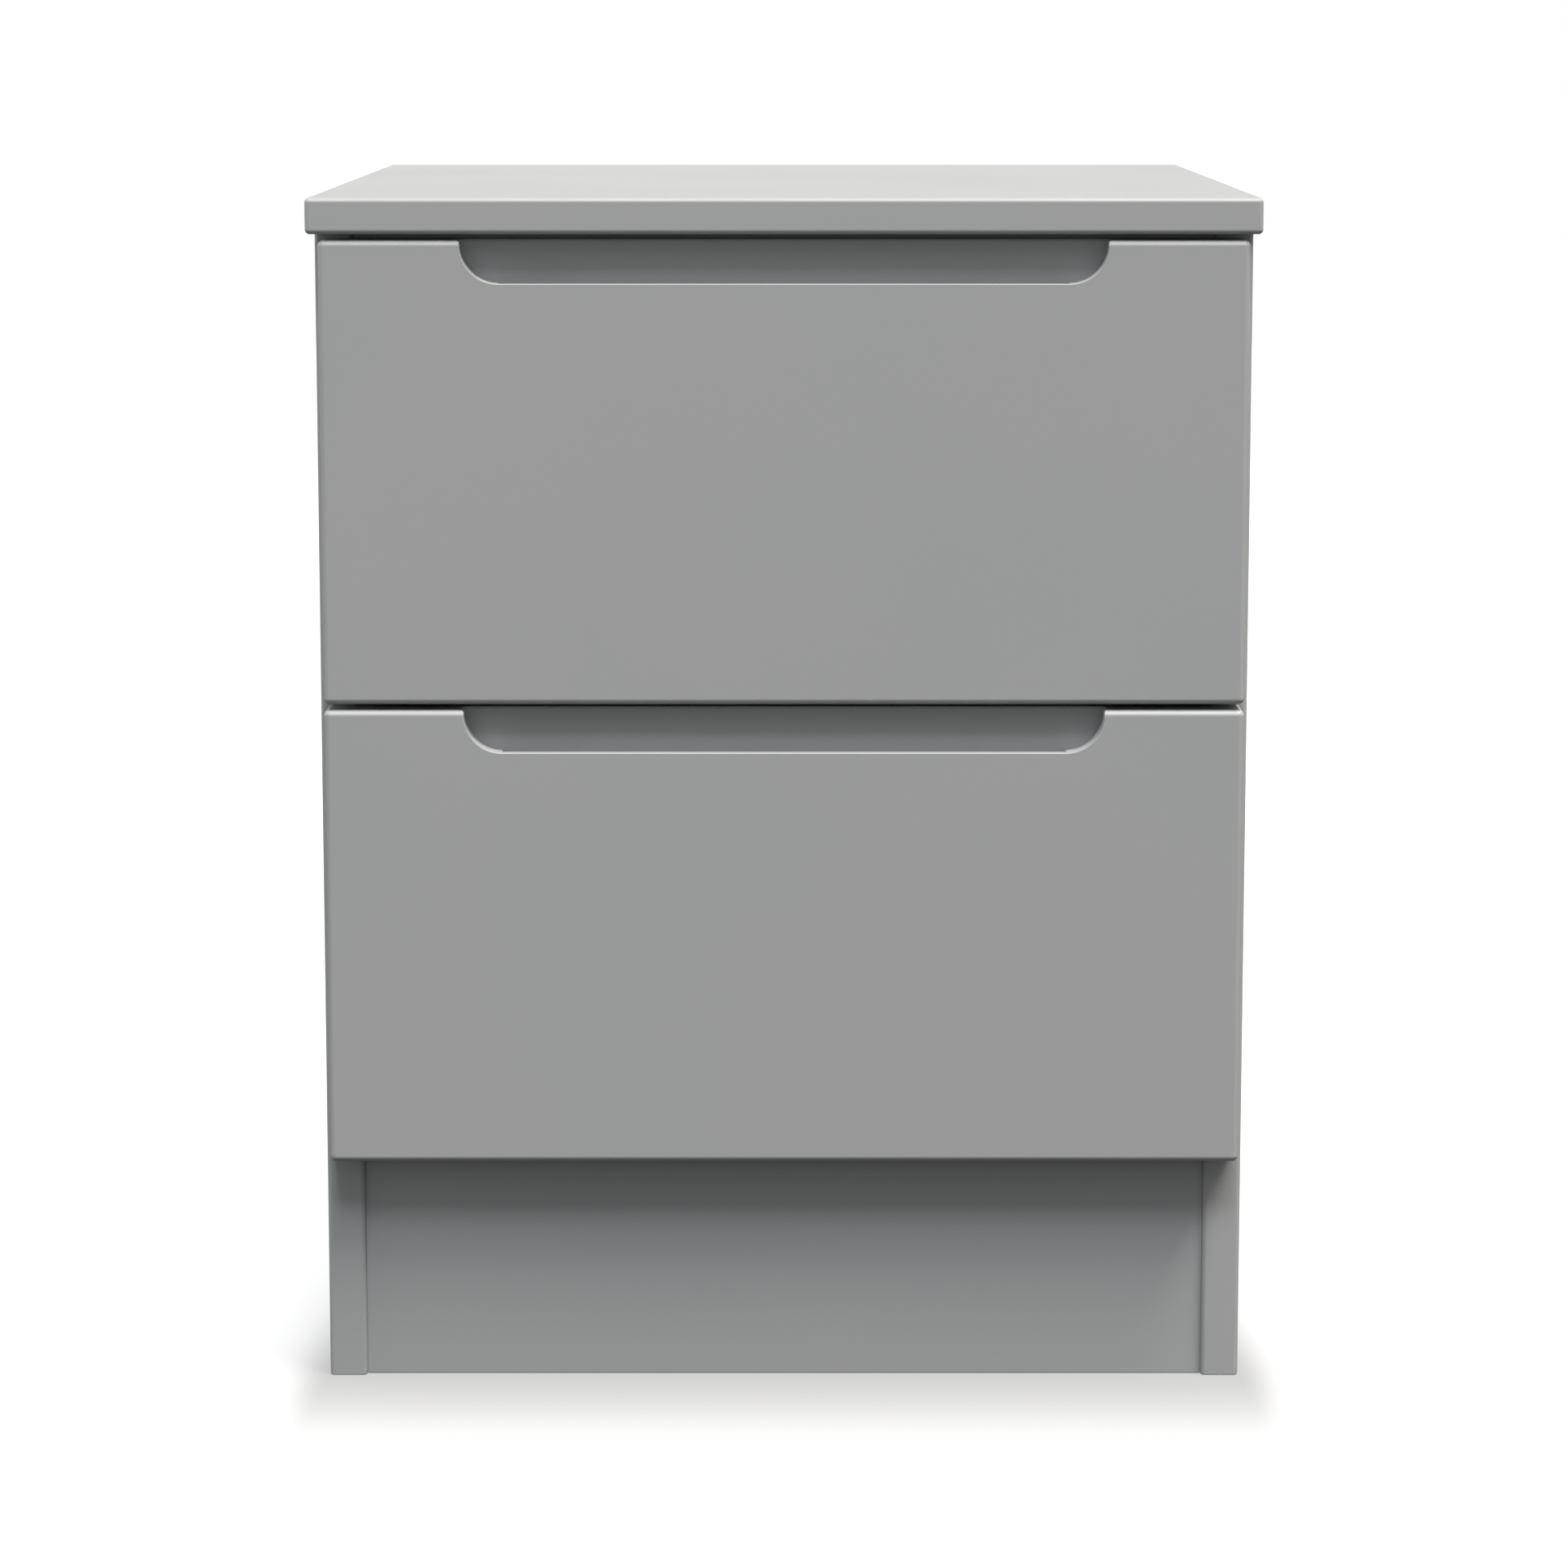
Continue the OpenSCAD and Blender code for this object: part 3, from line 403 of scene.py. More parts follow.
def coat(name, colours, edge_colour, roughness, grain, depth, edge_amount=0.3, stretch=(1, 1, 1)):
    """A smooth coat: two near colours, a roughness range and a fine texture."""
    material, tree, shader = start_material(name)
    drift = placed(
        tree,
        colour_drift,
        {"Color": colours[0], "Other Color": colours[1], "Scale": 5.0, "Contrast": 0.25},
    )
    texture = placed(tree, fine_texture, {"Scale": grain, "Stretch": stretch})
    wander = rescaled(tree, texture["Patches"], 0.3, 0.7, *roughness)
    edge_toned = placed(
        tree,
        worn_edges,
        {
            "Color": drift["Color"],
            "Edge Color": edge_colour,
            "Roughness": wander,
            "Edge Roughness": roughness[0] * 0.8,
            "Amount": edge_amount,
        },
    )
    tree.links.new(edge_toned["Color"], shader.inputs["Base Color"])
    tree.links.new(edge_toned["Roughness"], shader.inputs["Roughness"])
    add_bump(tree, shader, texture["Height"], 0.6, depth)
    return material


# The paler edge colour is a painted highlight along the foil's rounded edges.
grey_foil = coat(
    "grey_foil",
    (rgb(0.397, 0.412, 0.417), rgb(0.405, 0.410, 0.414)),
    rgb(0.44, 0.44, 0.435),
    (0.40, 0.48),
    1100.0,
    0.00002,
)
# The paler edge colour is a painted highlight along the box foil's rounded edges.
box_foil = coat(
    "box_foil",
    (rgb(0.60, 0.60, 0.585), rgb(0.64, 0.635, 0.62)),
    rgb(0.68, 0.675, 0.66),
    (0.45, 0.55),
    700.0,
    0.00004,
    stretch=(1, 0.35, 1),
)
white_epoxy = coat(
    "white_epoxy",
    (rgb(0.78, 0.78, 0.76), rgb(0.81, 0.81, 0.79)),
    rgb(0.62, 0.62, 0.60),
    (0.30, 0.40),
    450.0,
    0.00003,
    edge_amount=0.5,
)
white_nylon = coat(
    "white_nylon",
    (rgb(0.83, 0.82, 0.77), rgb(0.86, 0.85, 0.81)),
    rgb(0.76, 0.75, 0.70),
    (0.38, 0.50),
    600.0,
    0.00003,
)
print("coats:", [m.name for m in (grey_foil, box_foil, white_epoxy, white_nylon)])

# %% [markdown]
# ## Raw chipboard
#
# Where a board is cut and not covered, as at the rear edge of a side panel or inside a hole,
# its core shows: pressed chips of pale wood, each with its own tone, between darker specks of
# glue. A cell pattern gives the chips and their colours, and its distances give the pits.

# %% Chipboard
chipboard, tree, shader = start_material("raw_chipboard")
place = add_node(tree, "ShaderNodeTexCoord").outputs["Object"]
flat = add_node(tree, "ShaderNodeMapping", {0: place, 3: (1.0, 1.0, 0.55)}).outputs[0]
chips = add_node(tree, "ShaderNodeTexVoronoi", {"Vector": flat, "Scale": 620.0})
tone = add_node(tree, "ShaderNodeSeparateColor", {0: chips.outputs["Color"]}).outputs[0]
wood_tone = mixed_colour(tree, tone, rgb(0.36, 0.235, 0.14), rgb(0.66, 0.50, 0.34))
specks = placed(tree, fine_texture, {"Scale": 1500.0})
gaps = rescaled(tree, specks["Height"], 0.36, 0.5)
with_gaps = mixed_colour(tree, gaps, rgb(0.16, 0.10, 0.055), wood_tone)
pits = calculate(tree, "MULTIPLY", gaps, chips.outputs["Distance"])
shader.inputs["Roughness"].default_value = 0.85
tree.links.new(with_gaps, shader.inputs["Base Color"])
add_bump(tree, shader, pits, 0.9, 0.0003)
print("material", chipboard.name)


# %% [markdown]
# ## Hardboard and beech
#
# The back panel is brown hardboard, a felt of fine fibres with a faintly leathery face. The
# blocks and dowels are beech, pale and straight grained, with short dark flecks. Both are the
# same idea at two scales: a noise pulled long one way for the fibre, and a second one for tone.


# %% Fibrous wood
def fibrous(name, colours, fleck, roughness, scale, stretch, depth, fleck_share):
    """Wood whose fibres run along the axis that is stretched least."""
    material, tree, shader = start_material(name)
    fibre = placed(tree, fine_texture, {"Scale": scale, "Stretch": stretch, "Detail": 6.0})
    drift = placed(
        tree,
        colour_drift,
        {
            "Color": colours[0],
            "Other Color": colours[1],
            "Scale": scale * 0.2,
            "Stretch": stretch,
            "Contrast": 0.18,
        },
    )
    plain = rescaled(tree, fibre["Height"], fleck_share, fleck_share + 0.12)
    tone = mixed_colour(tree, plain, fleck, drift["Color"])
    rough = rescaled(tree, fibre["Height"], 0.3, 0.7, *roughness)
    tree.links.new(tone, shader.inputs["Base Color"])
    tree.links.new(rough, shader.inputs["Roughness"])
    add_bump(tree, shader, fibre["Height"], 0.8, depth)
    return material


hardboard = fibrous(
    "hardboard",
    (rgb(0.215, 0.124, 0.068), rgb(0.252, 0.152, 0.087)),
    rgb(0.170, 0.093, 0.049),
    (0.55, 0.72),
    900.0,
    (1.0, 1.0, 0.3),
    0.00008,
    0.30,
)
beech = fibrous(
    "beech",
    (rgb(0.56, 0.38, 0.21), rgb(0.65, 0.47, 0.28)),
    rgb(0.44, 0.27, 0.14),
    (0.50, 0.65),
    800.0,
    (1.0, 1.0, 0.12),
    0.00006,
    0.34,
)
print("woods:", hardboard.name, beech.name)

# %% [markdown]
# ## Zinc and clear pads
#
# Screws, bolts, cams and rivets are zinc plated: bright, slightly bluish, with a fine uneven
# mottle. The pads behind the fronts are clear soft plastic. Metal keeps its roughness and colour
# from the shared groups, and the pad is a plain see-through shader with a fine skin.

# %% Zinc plate
zinc, tree, shader = start_material("zinc_plate", metallic=1.0)
drift = placed(
    tree,
    colour_drift,
    {
        "Color": rgb(0.56, 0.57, 0.59),
        "Other Color": rgb(0.68, 0.68, 0.66),
        "Scale": 260.0,
        "Contrast": 0.2,
    },
)
texture = placed(tree, fine_texture, {"Scale": 2600.0})
rough = rescaled(tree, texture["Height"], 0.3, 0.7, 0.26, 0.44)
edge_toned = placed(
    tree,
    worn_edges,
    {
        "Color": drift["Color"],
        "Edge Color": rgb(0.78, 0.78, 0.78),
        "Roughness": rough,
        "Edge Roughness": 0.2,
        "Amount": 0.6,
        "Scale": 300.0,
    },
)
tree.links.new(edge_toned["Color"], shader.inputs["Base Color"])
tree.links.new(edge_toned["Roughness"], shader.inputs["Roughness"])
add_bump(tree, shader, texture["Height"], 0.5, 0.00002)
print("material", zinc.name)

# %% Clear pads
clear_pad, tree, shader = start_material("clear_pad", ior=1.45)
shader.inputs["Transmission Weight"].default_value = 0.75
texture = placed(tree, fine_texture, {"Scale": 1800.0})
drift = placed(
    tree,
    colour_drift,
    {"Color": rgb(0.84, 0.86, 0.87), "Other Color": rgb(0.90, 0.91, 0.92), "Scale": 200.0},
)
rough = rescaled(tree, texture["Height"], 0.3, 0.7, 0.18, 0.30)
tree.links.new(drift["Color"], shader.inputs["Base Color"])
tree.links.new(rough, shader.inputs["Roughness"])
add_bump(tree, shader, texture["Height"], 0.4, 0.00002)
print("material", clear_pad.name)

# %% [markdown]
# ## Helpers for meshes
#
# A piece starts as a mesh at its place in the frame, gets its modifiers, and is then turned into
# a plain mesh. The rounded strips that a bevel makes are remembered in an attribute named edge,
# which the group for edge wear and painted highlight reads. A rule says where a board's core shows.


# %% Mesh helpers
def new_object(name, mesh, *materials):
    """An object at the origin that holds a mesh and its materials."""
    piece = bpy.data.objects.new(name, mesh)
    bpy.context.scene.collection.objects.link(piece)
    for material in materials:
        mesh.materials.append(material)
    return piece


def from_shape(name, shape, *materials):
    """Turns a bmesh into an object, with its faces pointing outwards."""
    bmesh.ops.recalc_face_normals(shape, faces=shape.faces)
    mesh = bpy.data.meshes.new(name)
    shape.to_mesh(mesh)
    shape.free()
    return new_object(name, mesh, *materials)


def make_plain(piece):
    """Turns what the modifiers make into the piece's own mesh."""
    graph = bpy.context.evaluated_depsgraph_get()
    mesh = bpy.data.meshes.new_from_object(
        piece.evaluated_get(graph), preserve_all_data_layers=True, depsgraph=graph
    )
    before = piece.data
    piece.modifiers.clear()
    piece.data = mesh
    bpy.data.meshes.remove(before)
    mesh.name = piece.name
    return piece


def hand_over(piece, node, replace=True):
    """Attaches a finished piece to its body, and hides the node it stands for when it replaces it.
    """
    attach(piece, BODY_OF[node])
    if replace:
        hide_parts(node)
    return piece


print("mesh helpers ready")

# %% Rounded edges
STRIP = 1
FLAT_WEIGHT = 50


def round_edges(piece, width, segments=3, angle=35, by_weight=False):
    """Rounds sharp edges, remembers the strips in the attribute edge, and shades smoothly."""
    piece.data.shade_smooth()
    while len(piece.data.materials) < STRIP + 1:
        piece.data.materials.append(piece.data.materials[0])
    bevel = piece.modifiers.new("rounding", "BEVEL")
    bevel.width = width
    bevel.segments = segments
    bevel.limit_method = "WEIGHT" if by_weight else "ANGLE"
    bevel.angle_limit = math.radians(angle)
    bevel.use_clamp_overlap = False
    bevel.material = STRIP
    flat = piece.modifiers.new("flat_faces", "WEIGHTED_NORMAL")
    flat.mode = "FACE_AREA"
    flat.weight = FLAT_WEIGHT
    make_plain(piece)
    mesh = piece.data
    # These strip marks drive edge wear and a painted highlight in the shared group.
    edge_strips = np.ones(len(mesh.vertices), np.float32)
    for face in mesh.polygons:
        if face.material_index != STRIP:
            edge_strips[list(face.vertices)] = 0.0
        face.material_index = 0
    mesh.attributes.new("edge", "FLOAT", "POINT").data.foreach_set("value", edge_strips)
    return piece


def show_core(piece, low, high, raw):
    """Gives the second material to raw faces and to the inside of holes and grooves."""
    near = 0.0026  # no rounded edge lies further in than this
    for face in piece.data.polygons:
        axis = max(range(3), key=lambda i: abs(face.normal[i]))
        outward = face.normal[axis] > 0
        plane = high[axis] if outward else low[axis]
        inside = abs(face.center[axis] - plane) > near
        face.material_index = int(inside or "-+"[outward] + "xyz"[axis] in raw)


print("strips are marked with material slot", STRIP)


# %% Copies of frame nodes
def merged(node):
    """A copy of a node's triangles, joined at their corners, with flat areas made one face."""
    shape = bmesh.new()
    shape.from_mesh(frame["nodes"][node].data)
    bmesh.ops.remove_doubles(shape, verts=shape.verts, dist=2e-6)
    bmesh.ops.dissolve_limit(
        shape, angle_limit=math.radians(0.4), verts=shape.verts, edges=shape.edges
    )
    return shape


def board_from(node, name, finish, width=0.0004, raw=None, segments=3):
    """A board with its real holes and grooves, softened edges and, where raw, its core."""
    core = [chipboard] if raw is not None else []
    piece = from_shape(name, merged(node), finish, *core)
    round_edges(piece, width, segments)
    if raw is not None:
        show_core(piece, *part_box(node), raw)
    return hand_over(piece, node)


print("nodes to dress:", len(frame["nodes"]))

# %% [markdown]
# ## The top
#
# The top is one thin board wrapped in foil on all its edges, with a small even rounding that
# catches a line of light along the front. A box with a bevel of several segments on every edge
# is exactly that shape, corners included.

# %% Top panel
EDGE_ROUNDING = 0.002


def box_shape(low, high):
    """A closed box between two corners."""
    shape = bmesh.new()
    made = bmesh.ops.create_cube(shape, size=1.0)
    for corner in made["verts"]:
        corner.co = Vector(high[i] if corner.co[i] > 0 else low[i] for i in range(3))
    return shape


top = from_shape("top_board", box_shape(*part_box("top_panel")), grey_foil)
round_edges(top, EDGE_ROUNDING, segments=6)
hand_over(top, "top_panel")
print("top board faces:", len(top.data.polygons))

# %% [markdown]
# ## The carcass boards
#
# The side panels run to the floor and carry everything. Their faces and front edges are foil,
# and their rear and lower edges are raw. The base, the plinth and the rails are the same board.
# They keep the frame's own holes and grooves, so the copies only need softened edges.

# %% Carcass boards
FOIL_EDGE = 0.0005

CARCASS = {
    "left_side_panel": ("left_side_board", ("+y", "-z", "+z")),
    "right_side_panel": ("right_side_board", ("+y", "-z", "+z")),
    "base_panel": ("base_board", ("+y", "-x", "+x")),
    "plinth": ("plinth_board", ("-z", "-x", "+x")),
    "front_top_rail": ("front_rail", ("+y", "-x", "+x")),
    "rear_top_rail": ("rear_rail", ("+y", "-x", "+x")),
}
for node, (name, raw) in CARCASS.items():
    board = board_from(node, name, grey_foil, FOIL_EDGE, raw)
    print(name, "faces:", len(board.data.polygons))

# %% [markdown]
# ## Back panel and glue blocks
#
# The back is a thin hardboard sheet in grooves, nailed to the base and to the rail. A nail is
# driven without a hole and the board closes round it, so a plain sheet with softened edges is
# right. Two beech blocks stiffen the plinth's corners from behind and keep the frame's shape.

# %% Back panel and blocks
back = from_shape("back_sheet", box_shape(*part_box("back_panel")), hardboard)
round_edges(back, 0.0003, segments=2)
hand_over(back, "back_panel")
blocks = board_from("plinth_blocks", "glue_blocks", beech, 0.0008)
print("back sheet faces:", len(back.data.polygons), "glue block faces:", len(blocks.data.polygons))

# %% [markdown]
# ## The drawer fronts
#
# A front is one thick board with a wide finger recess milled in its upper edge. The recess has
# round lower corners and a lip, and behind the lip a groove takes the fingertips. A boolean cut
# would leave edges that a bevel can't follow cleanly, so the faces are laid down one by one, and
# each edge says how round it is: generous outside, tight along the recess.

# %% Outline of the recess
RECESS_HALF = 0.134
RECESS_HEIGHT = 0.018
RECESS_DEPTH = 0.012
RECESS_CORNER = 0.016
LIP = 0.005
GROOVE_DEPTH = 0.008
GROOVE_ROUND = 0.0034
ARC_STEPS = 18


def arc(cx, cz, radius, start, stop, steps=ARC_STEPS):
    """Points on an arc, from one angle in degrees to another."""
    turn = [math.radians(start + (stop - start) * k / steps) for k in range(steps + 1)]
    return [(cx + radius * math.cos(t), cz + radius * math.sin(t)) for t in turn]


def recess_outline(top_z):
    """The recess seen from the front, as (x, z) from its upper left corner to its upper right."""
    lip_z = top_z - RECESS_HEIGHT
    flat_half = RECESS_HALF - RECESS_CORNER
    centre_z = lip_z + RECESS_CORNER
    left = arc(-flat_half, centre_z, RECESS_CORNER, 180, 270)
    right = arc(flat_half, centre_z, RECESS_CORNER, 270, 360)
    return [(-RECESS_HALF, top_z)] + left + right + [(RECESS_HALF, top_z)]


print("points on the recess's outline:", len(recess_outline(0.0)))

# %% A front's faces
OUTER_ROUNDING = 0.0025
ROUNDINGS = {"outer": 1.0, "recess": 0.14, "notch_corner": 0.6, "rear": 0.16, "inner": 0.2}


def front_shape(low, high):
    """The closed shape of a drawer front, with a bevel weight on each edge to be rounded."""
    shape = bmesh.new()
    corners = {}

    def corner(x, y, z):
        key = (round(x, 7), round(y, 7), round(z, 7))
        if key not in corners:
            corners[key] = shape.verts.new((x, y, z))
        return corners[key]

    def face(points):
        shape.faces.new([corner(*p) for p in points])

    face_y, rear_y = low.y, high.y
    wall_y, groove_y = face_y + RECESS_DEPTH, face_y + LIP
    outline = recess_outline(high.z)
    lip_z = high.z - RECESS_HEIGHT
    flat_half = RECESS_HALF - RECESS_CORNER
    left, right, top, bottom = low.x, high.x, high.z, low.z

    face([(left, face_y, bottom), (right, face_y, bottom), (right, face_y, top)]
         + [(x, face_y, z) for x, z in reversed(outline)] + [(left, face_y, top)])
    face([(left, rear_y, z) for z in (bottom, top)] + [(right, rear_y, z) for z in (top, bottom)])
    face([(x, wall_y, z) for x, z in outline])
    face([(left, face_y, top), (-RECESS_HALF, face_y, top), (-RECESS_HALF, wall_y, top),
          (RECESS_HALF, wall_y, top), (RECESS_HALF, face_y, top), (right, face_y, top),
          (right, rear_y, top), (left, rear_y, top)])
    face([(left, face_y, bottom), (right, face_y, bottom), (right, rear_y, bottom),
          (left, rear_y, bottom)])
    for x in (left, right):
        face([(x, face_y, bottom), (x, face_y, top), (x, rear_y, top), (x, rear_y, bottom)])

    for (x0, z0), (x1, z1) in zip(outline, outline[1:]):
        if abs(x1 - x0) > flat_half:
            face([(x0, face_y, z0), (x1, face_y, z1), (x1, groove_y, z1), (x0, groove_y, z0)])
            continue
        ring = [(x0, face_y, z0), (x1, face_y, z1)]
        ring += [(x1, groove_y, z1)] if abs(abs(x1) - flat_half) < 1e-6 else []
        ring += [(x1, wall_y, z1), (x0, wall_y, z0)]
        ring += [(x0, groove_y, z0)] if abs(abs(x0) - flat_half) < 1e-6 else []
        face(ring)

    base_z = lip_z - GROOVE_DEPTH + GROOVE_ROUND
    section = [(groove_y, lip_z)]
    section += arc(groove_y + GROOVE_ROUND, base_z, GROOVE_ROUND, 180, 270, 6)
    section += arc(wall_y - GROOVE_ROUND, base_z, GROOVE_ROUND, 270, 360, 6)
    section += [(wall_y, lip_z)]
    for (y0, z0), (y1, z1) in zip(section, section[1:]):
        face([(-flat_half, y0, z0), (flat_half, y0, z0), (flat_half, y1, z1), (-flat_half, y1, z1)])
    for x in (-flat_half, flat_half):
        face([(x, y, z) for y, z in section])

    weight = shape.edges.layers.float.new("bevel_weight_edge")

    def both(edge, axis, value):
        return all(abs(v.co[axis] - value) < 1e-6 for v in edge.verts)

    def both_wide(edge, value):
        return all(abs(abs(v.co.x) - value) < 1e-6 for v in edge.verts)

    for edge in shape.edges:
        along_y = abs(edge.verts[0].co.y - edge.verts[1].co.y) > 1e-6
        outside = both(edge, 0, left) or both(edge, 0, right)
        kind = None
        if along_y:
            if outside:
                kind = "outer"
            elif both(edge, 2, top) and both_wide(edge, RECESS_HALF):
                kind = "notch_corner"
        elif both(edge, 1, face_y):
            rim = outside or both(edge, 2, bottom) or both(edge, 2, top)
            kind = "outer" if rim else "recess"
        elif both(edge, 1, rear_y):
            kind = "rear"
        elif both(edge, 1, wall_y) and both(edge, 2, top):
            kind = "inner"
        elif both(edge, 1, groove_y) and both(edge, 2, lip_z):
            kind = "recess"
        if kind:
            edge[weight] = ROUNDINGS[kind]
    return shape


print("roundings in mm:", {k: round(v * OUTER_ROUNDING * 1000, 2) for k, v in ROUNDINGS.items()})

# %% Both fronts
for drawer in BOTH:
    node = f"{drawer}_drawer_front"
    front = from_shape(f"{drawer}_front_board", front_shape(*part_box(node)), grey_foil)
    round_edges(front, OUTER_ROUNDING, segments=6, by_weight=True)
    hand_over(front, node)
    print(front.name, "faces:", len(front.data.polygons))

# %% [markdown]
# ## The drawer boxes
#
# Each box has two sides and a back of thin board with rounded upper edges, and a bottom that
# slides into grooves. They are covered in a paler foil. Their ends are raw, and the holes for
# pegs, bolts and screws are those of the frame.

# %% Drawer boxes
BOX_EDGE = 0.0003
BOX_PARTS = {
    "left_side": ("+y", "-y"),
    "right_side": ("+y", "-y"),
    "back": ("-z", "-x", "+x"),
    "bottom": ("+y",),
}
for drawer in BOTH:
    boards = [
        board_from(f"{drawer}_drawer_{part}", f"{drawer}_box_{part}", box_foil, BOX_EDGE, raw)
        for part, raw in BOX_PARTS.items()
    ]
    print(drawer, "box faces:", [len(b.data.polygons) for b in boards])

# %% [markdown]
# ## Trees of geometry nodes
#
# What repeats or follows a rule is made by geometry nodes. Each tree has named inputs for its
# sizes, ends in Realize Instances and Set Material, and its result is turned into a plain mesh.


# %% Helpers for trees
GEOMETRY, OBJECT, MATERIAL = "NodeSocketGeometry", "NodeSocketObject", "NodeSocketMaterial"


def new_geometry_tree(name, inputs):
    """A tree that takes geometry and named inputs, and gives geometry."""
    inputs = [("Geometry", GEOMETRY, None)] + inputs + [("Material", MATERIAL, None)]
    return new_tree(name, "GeometryNodeTree", inputs, [("Geometry", GEOMETRY)])


def end_tree(tree, given, out, geometry):
    """Ends a tree in Realize Instances and Set Material."""
    solid = add_node(tree, "GeometryNodeRealizeInstances", {"Geometry": geometry})
    done = add_node(
        tree,
        "GeometryNodeSetMaterial",
        {"Geometry": solid.outputs[0], "Material": given["Material"]},
    )
    tree.links.new(done.outputs[0], out.inputs[0])


def run_tree(piece, tree, values):
    """Adds a tree to a piece, with its inputs set by their identifiers."""
    modifier = piece.modifiers.new(tree.name, "NODES")
    modifier.node_group = tree
    for item in tree.interface.items_tree:
        if item.in_out == "INPUT" and item.name in values:
            modifier[item.identifier] = values[item.name]
    return modifier


print("tree helpers ready")

# %% [markdown]
# ## Rolled steel runners
#
# A runner is a strip of steel rolled to one section along its whole length. So the section's
# middle line is drawn once with sharp corners, the tree rounds its bends and draws it out to a
# length, and Solidify gives the sheet its thickness, which keeps the inner and outer bends
# true. What the punch takes away afterwards is cut with plain blocks.

# %% Rolled section tree
rolled_section, given, out = new_geometry_tree(
    "rolled_section", [("Bend radius", FLOAT, 0.0016), ("Length", FLOAT, 0.35)]
)
line = add_node(rolled_section, "GeometryNodeMeshToCurve", {"Mesh": given["Geometry"]})
bends = add_node(
    rolled_section,
    "GeometryNodeFilletCurve",
    {"Curve": line.outputs[0], "Radius": given["Bend radius"], "Limit Radius": True},
    mode="POLY",
)
bends.inputs["Count"].default_value = 5
edge_line = add_node(rolled_section, "GeometryNodeCurveToMesh", {"Curve": bends.outputs[0]})
reach = add_node(rolled_section, "ShaderNodeCombineXYZ", {"Y": given["Length"]})
drawn = add_node(
    rolled_section,
    "GeometryNodeExtrudeMesh",
    {"Mesh": edge_line.outputs[0], "Offset": reach.outputs[0], "Offset Scale": 1.0},
    mode="EDGES",
)
end_tree(rolled_section, given, out, drawn.outputs["Mesh"])
print("tree", rolled_section.name)


# %% Cut with blocks
def cut(piece, *cutters):
    """Takes closed shapes away from a piece."""
    tools = [from_shape("cutter", shape, piece.data.materials[0]) for shape in cutters]
    for tool in tools:
        boolean = piece.modifiers.new("cut", "BOOLEAN")
        boolean.operation = "DIFFERENCE"
        boolean.solver = "MANIFOLD"
        boolean.object = tool
    make_plain(piece)
    for tool in tools:
        bpy.data.objects.remove(tool)
    return piece


def line_mesh(name, points):
    """A mesh of one open line."""
    mesh = bpy.data.meshes.new(name)
    mesh.from_pydata(points, [(k, k + 1) for k in range(len(points) - 1)], [])
    return mesh


print("cutting helpers ready")

# %% Roll a runner
STEEL = 0.0012
BEND = 0.0014
STEEL_EDGE = 0.00018


def rolled(name, section, y0, y1, place_x):
    """Rolls a section, given as (u, z) from the side panel inwards, between two ends."""
    line = line_mesh(name, [(place_x(u), y0, z) for u, z in section])
    piece = new_object(name, line, white_epoxy)
    sizes = {"Bend radius": BEND, "Length": y1 - y0, "Material": white_epoxy}
    run_tree(piece, rolled_section, sizes)
    sheet = piece.modifiers.new("sheet", "SOLIDIFY")
    sheet.thickness = STEEL
    sheet.offset = 0
    sheet.use_even_offset = True
    make_plain(piece)
    shape = bmesh.new()
    shape.from_mesh(piece.data)
    bmesh.ops.recalc_face_normals(shape, faces=shape.faces)
    shape.to_mesh(piece.data)
    shape.free()
    return piece


def block_at(place_x, u, y, z):
    """A closed block between two values of u, y and z."""
    xs = sorted(place_x(v) for v in u)
    return box_shape(Vector((xs[0], y[0], z[0])), Vector((xs[1], y[1], z[1])))


def inwards(side):
    """Turns a distance from the side panel's inner face into x."""
    left_x, right_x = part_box("left_side_panel")[1].x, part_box("right_side_panel")[0].x
    return (lambda u: left_x + u) if side == "left" else (lambda u: right_x - u)


def roll_all(member):
    """Rolls one kind of member for both sides of both drawers."""
    for drawer in BOTH:
        for side in SIDES:
            piece, node = member(drawer, side)
            round_edges(piece, STEEL_EDGE, 2, angle=50)
            hand_over(piece, node)
            print(piece.name, "faces:", len(piece.data.polygons))


print("steel", STEEL * 1000, "mm, bends", BEND * 1000, "mm")

# %% [markdown]
# ## Cabinet members and drawer members
#
# The cabinet member is a channel that opens inwards, with a small lip that keeps the roller in.
# Its first stretch is only the web, which carries the front roller. The drawer member hooks under
# the box, stands along its side and turns outwards over the front roller, and ends short to make
# room for its own roller. In the frame, the channel also has a low tongue in its floor that stops
# the drawer, and both members have holes for their screws and rivets. These pieces have neither.

# %% Cabinet members
CHANNEL_START = 0.026
CHANNEL_LOW, CHANNEL_HIGH = -0.0109, 0.0112
LIP_TOP = -0.0083


def cabinet_member(drawer, side):
    """A channel for the drawer's roller, cut back to its web at the front."""
    node = f"{drawer}_{side}_cabinet_runner"
    low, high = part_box(node)
    place_x = inwards(side)
    zero = low.z + 0.0115
    section = [(0.0103, CHANNEL_HIGH), (0.0006, CHANNEL_HIGH), (0.0006, CHANNEL_LOW),
               (0.0097, CHANNEL_LOW), (0.0097, LIP_TOP)]
    section = [(u, zero + z) for u, z in section]
    piece = rolled(f"{drawer}_{side}_channel", section, low.y, high.y, place_x)
    nose = (low.y - 0.01, low.y + CHANNEL_START)
    cut(piece, block_at(place_x, (0.0013, 0.02), nose, (zero - 0.03, zero + 0.03)))
    return piece, node


roll_all(cabinet_member)

# %% Drawer members
MEMBER_SECTION = [(0.0026, 0.0094), (0.0119, 0.0094), (0.0119, -0.0096), (0.0235, -0.0096)]
FLANGE_SHORT = 0.025


